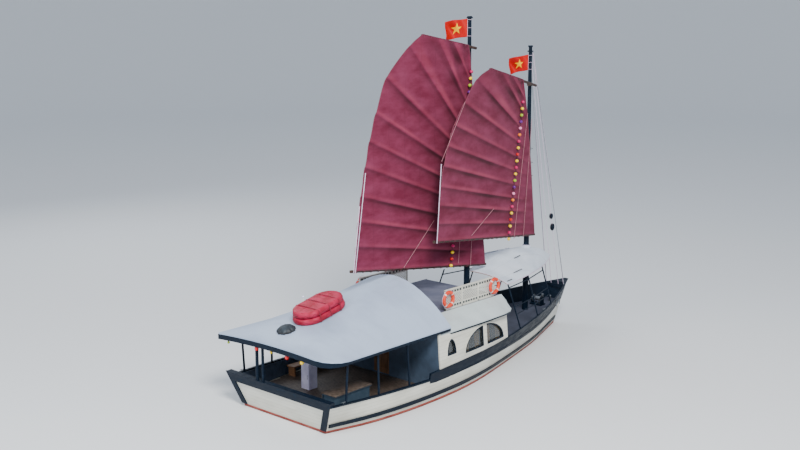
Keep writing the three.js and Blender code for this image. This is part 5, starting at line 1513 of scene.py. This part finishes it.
FRONT_Y, FRONT_PITCH = -1.69, 0.485
fronts = [block((-9.22, -2.4, 1.3302), (-7.23, -1.66, 1.365), 0.006, mark=2)]
for i in range(4):
    x = -9.19 + i * FRONT_PITCH
    for low, high, grip_z in ((0.56, 1.09, 1.0), (1.11, 1.29, 1.2)):
        fronts.append(block((x + 0.01, FRONT_Y, low), (x + 0.475, FRONT_Y + 0.015, high), 0.005))
        ends = [(x + d, FRONT_Y + 0.014, grip_z) for d in (0.17, 0.31)]
        fronts.append(handle(*ends, (0, 0.03, 0)))
# The worktop wears the dark wood, painted shade for the well under the roof.
front_finishes = [tins["laminate_dark"], tins["zinc_galvanised"], tins["dark_wood_painted_shade"]]
piece("galley_counter_fronts", fronts, front_finishes, sharp=30)
doors = []
for low, high in ((0.5, 1.6), (1.63, 2.32)):
    doors.append(block((-7.593, 0.73, low), (-7.575, 1.15, high), 0.008))
    doors.append(handle((-7.592, 0.775, low + 0.42), (-7.592, 0.775, low + 0.57), (-0.028, 0, 0)))
piece("galley_locker_doors", doors, [tins["enamel_lilac"], tins["zinc_galvanised"]],
      sharp=30)
print("fronts:", len(fronts), "locker parts:", len(doors))

# %% [markdown]
# ## Doors and hatch
# A teak door is a frame with raised panels. Thin mouldings laid on the leaf outline the panels, three
# leaf hinges show at the hung edge, and a bronze lever sits at the other. They ride on the door's own
# body, so they swing with it. The hatch has a flush ring to lift it by.

# %% Mouldings and furniture on the doors
DOORS = (("aft", -4.1, -4.06, -0.42, 0.412, 0.518, 2.342), ("front", 0.9, 0.86, 0.33, 1.122, 1.138, 2.892))


def moulding(x, y0, y1, z0, z1):
    """A rectangle of half-round beading on a face at x, with a raised panel in it."""
    corners = [(x, y0, z0), (x, y1, z0), (x, y1, z1), (x, y0, z1)]
    beads = [rope([start, end], 0.011, 8) for start, end in zip(corners, corners[1:] + corners[:1])]
    return [*beads, block((x - 0.004, y0 + 0.04, z0 + 0.04), (x + 0.004, y1 - 0.04, z1 - 0.04), 0.003)]


def lever(x, out, y, z):
    """A lever handle and its plate on a face at x that looks to out."""
    ends = sorted((x, x + out * 0.006))
    grip = [(x, y, z), (x + out * 0.045, y, z), (x + out * 0.05, y - 0.02, z), (x + out * 0.05, y - 0.11, z)]
    return [block((ends[0], y - 0.02, z - 0.09), (ends[1], y + 0.02, z + 0.06), 0.002, mark=1),
            rope(grip, 0.008, 8, mark=1)]


for name, face, back, y0, y1, z0, z1 in DOORS:
    out = 1 if face > back else -1
    parts = lever(face, out, y1 - 0.055, z0 + 0.86) + lever(back, -out, y1 - 0.055, z0 + 0.86)
    for low, high in ((0.1, 0.46), (0.5, 0.92)):
        for x in (face, back):
            parts += moulding(x, y0 + 0.1, y1 - 0.1, z0 + (z1 - z0) * low, z0 + (z1 - z0) * high)
    for middle in (z0 + 0.2, (z0 + z1) / 2, z1 - 0.2):
        hinge = [(face + out * 0.004, y0 + 0.012, z) for z in (middle - 0.05, middle + 0.05)]
        parts.append(rope(hinge, 0.008, 10, mark=1))
    piece(f"cabin_door_{name}_mouldings", parts, [teak["upright"], tins["bronze_browned"]], sharp=40,
          body=f"door_{name}")
LID_TOP = 1.279
lid = []
for y in np.arange(-0.36, 0.37, 0.12):
    lid.append(block((2.7, y - 0.055, LID_TOP - 0.008), (3.5, y + 0.055, LID_TOP), 0.003))
lid.append(hoop((2.78, 0, LID_TOP + 0.005), (0.035, 0, 0), (0, 0.05, 0), 0.006, 8, 24, mark=1))
for y in (-0.25, 0.25):
    lid.append(block((3.4, y - 0.03, LID_TOP), (3.53, y + 0.03, LID_TOP + 0.008), 0.002, mark=1))
piece("hatch_lid_boards", lid, [teak["along"], tins["bronze_browned"]], sharp=40, body="hatch")
print("doors dressed:", len(DOORS))

# %% [markdown]
# ## Small gear forward
# Pale halyards run from the masthead down to a bar across the bow, and two dark blocks hang on one of
# them. Dark laces show on the tent's starboard side, where the canvas is tied to its hoops. A lace is
# only 15 mm thick, so it is drawn 40 mm.

# %% Blocks, halyards and laces
HALYARD_TOP = 13.4
HALYARDS = [((6.2, -0.05, HALYARD_TOP), (8.6, -0.22, 1.98)), ((6.2, 0.05, HALYARD_TOP), (8.6, 0.2, 1.98)),
            ((6.165, -0.1, HALYARD_TOP), (8.63, -0.5, 2.02)), ((6.165, 0.1, HALYARD_TOP), (8.63, 0.5, 2.02))]
LACES = (((4.09, -0.75), (4.63, -0.71), 5), ((3.04, -1.49), (3.81, -1.41), 6),
         ((2.12, -1.82), (2.55, -1.78), 4))  # from, to, and how many


def on_halyard(top, foot, u):
    """A point at the share u of a halyard, which bows a little forward."""
    return np.array(toward(top, foot, u)) + np.array([0.045 * math.sin(math.pi * u), 0, 0])


gear = [rope([(8.6, y, 1.955) for y in steps(-0.5, 0.5, 8)], 0.03, 12)]
for z, size in ((4.95, 1.25), (5.5, 1.0)):
    centre = on_halyard(*HALYARDS[0], (HALYARD_TOP - z) / 11.42)
    for off in (-0.042, 0.042):
        cheek = centre + np.array([0, off, 0])
        gear.append(ball(cheek, (0.1 * size, 0.03, 0.135 * size), across=12, around=20))
    gear.append(hoop(centre, (0.075 * size, 0, 0), (0, 0, 0.075 * size), 0.022, 8, 24))
    gear.append(hoop(centre, (0.108 * size, 0, 0), (0, 0, 0.143 * size), 0.01, 6, 28, mark=1))
piece("halyard_blocks", gear, [dark_enamel, tins["rope_tarred_dark"]])
halyards = [rope([on_halyard(top, foot, u) for u in steps(0, 1, 12)], 0.011, 8) for top, foot in HALYARDS]
piece("fore_halyards", halyards, [tins["rope_polyester_pale"]])
laces = []
for start, end, count in LACES:
    for i in range(count):
        x, y = toward(start, end, (i + 0.15) / count)
        path = [(x + d, y, tent_z(x + d, y) + 0.014) for d in steps(0, 0.09, 4)]
        laces.append(rope(path, 0.02, 8, sizes=[0.5, 1.0, 1.1, 1.0, 0.5]))
piece("foredeck_tent_laces", laces, [tins["rubber_black"]])
print("blocks: 2, halyards:", len(halyards), "laces:", len(laces))

# %% Bitts, cleats and fairleads
BITTS_FOOT = 1.2
mooring = []
for _, side in SIDES:
    bitt = [(7.9, side * 0.22, BITTS_FOOT + lift) for lift in (0, 0.28, 0.29, 0.33, 0.35)]
    mooring.append(rope(bitt, 0.055, 14, sizes=[1, 1, 1.25, 1.25, 0.8]))
    for x in (-9.2, 4.9):
        z = aft_cap_z(x, 1.2) if x < 0 else hull_value(hull_share(x, 1.7), HULL_TOP)
        y = side * (hull_y(x, z) - (0.04 if x < 0 else 0.0175))
        horn = [(x + d, y, z + 0.055 + 0.09 * abs(d)) for d in steps(-0.14, 0.14, 8)]
        mooring.append(rope(horn, 0.015, 8, sizes=[0.5, 0.8, 1, 1, 1, 1, 1, 0.8, 0.5]))
        mooring += [rope([(x + d, y, z - 0.01), (x + d, y, z + 0.055)], 0.012, 8) for d in (-0.04, 0.04)]
piece("mooring_gear", mooring, [tins["zinc_galvanised"]])
print("mooring gear:", len(mooring), "parts")

# %% [markdown]
# ## Floor and light
# The floor and the lights are soft and plain, so that the finishes show by themselves. The floor lies at
# the waterline and hides what is under water. Far out it curves up into a wall, like a photographer's
# paper sweep, so no horizon cuts across behind the boat.

# %% Floor, sky and lights
FLAT_R, WALL_R = 120.0, 60.0
floor_matter = start_finish("studio_floor", Base_Color="#D9DCDF", Roughness=0.9)
bowl = [(r, 0.0) for r in steps(0.0, FLAT_R, 4)]
for t in steps(0.0, math.pi / 2, 16)[1:]:
    bowl.append((FLAT_R + WALL_R * math.sin(t), WALL_R * (1 - math.cos(t))))
rings = [[(r * math.cos(t), r * math.sin(t), z) for t in steps(0.0, 2 * math.pi, 72)] for r, z in bowl]
studio_floor = mesh_object("studio_floor", patch(rings), [floor_matter], 180)

sky = bpy.data.worlds.new("studio_sky")
sky.use_nodes = True
sky.node_tree.nodes["Background"].inputs["Color"].default_value = (0.80, 0.88, 1.0, 1)
sky.node_tree.nodes["Background"].inputs["Strength"].default_value = 0.8
bpy.context.scene.world = sky


def lamp(name, place, target, size, power, tint):
    data = bpy.data.lights.new(name, "AREA")
    data.shape, data.size, data.energy, data.color = "DISK", size, power, tint
    aim(add_object(name, data), place, target)


lamp("key", (-27, -33, 40), (0, 0, 5), 16, 42000, (1.0, 0.97, 0.92))
lamp("fill", (-44, 2, 22), (0, 0, 5), 22, 9000, (0.94, 0.97, 1.0))
lamp("rim", (6, 40, 26), (0, 0, 6), 20, 4000, (1.0, 1.0, 1.0))
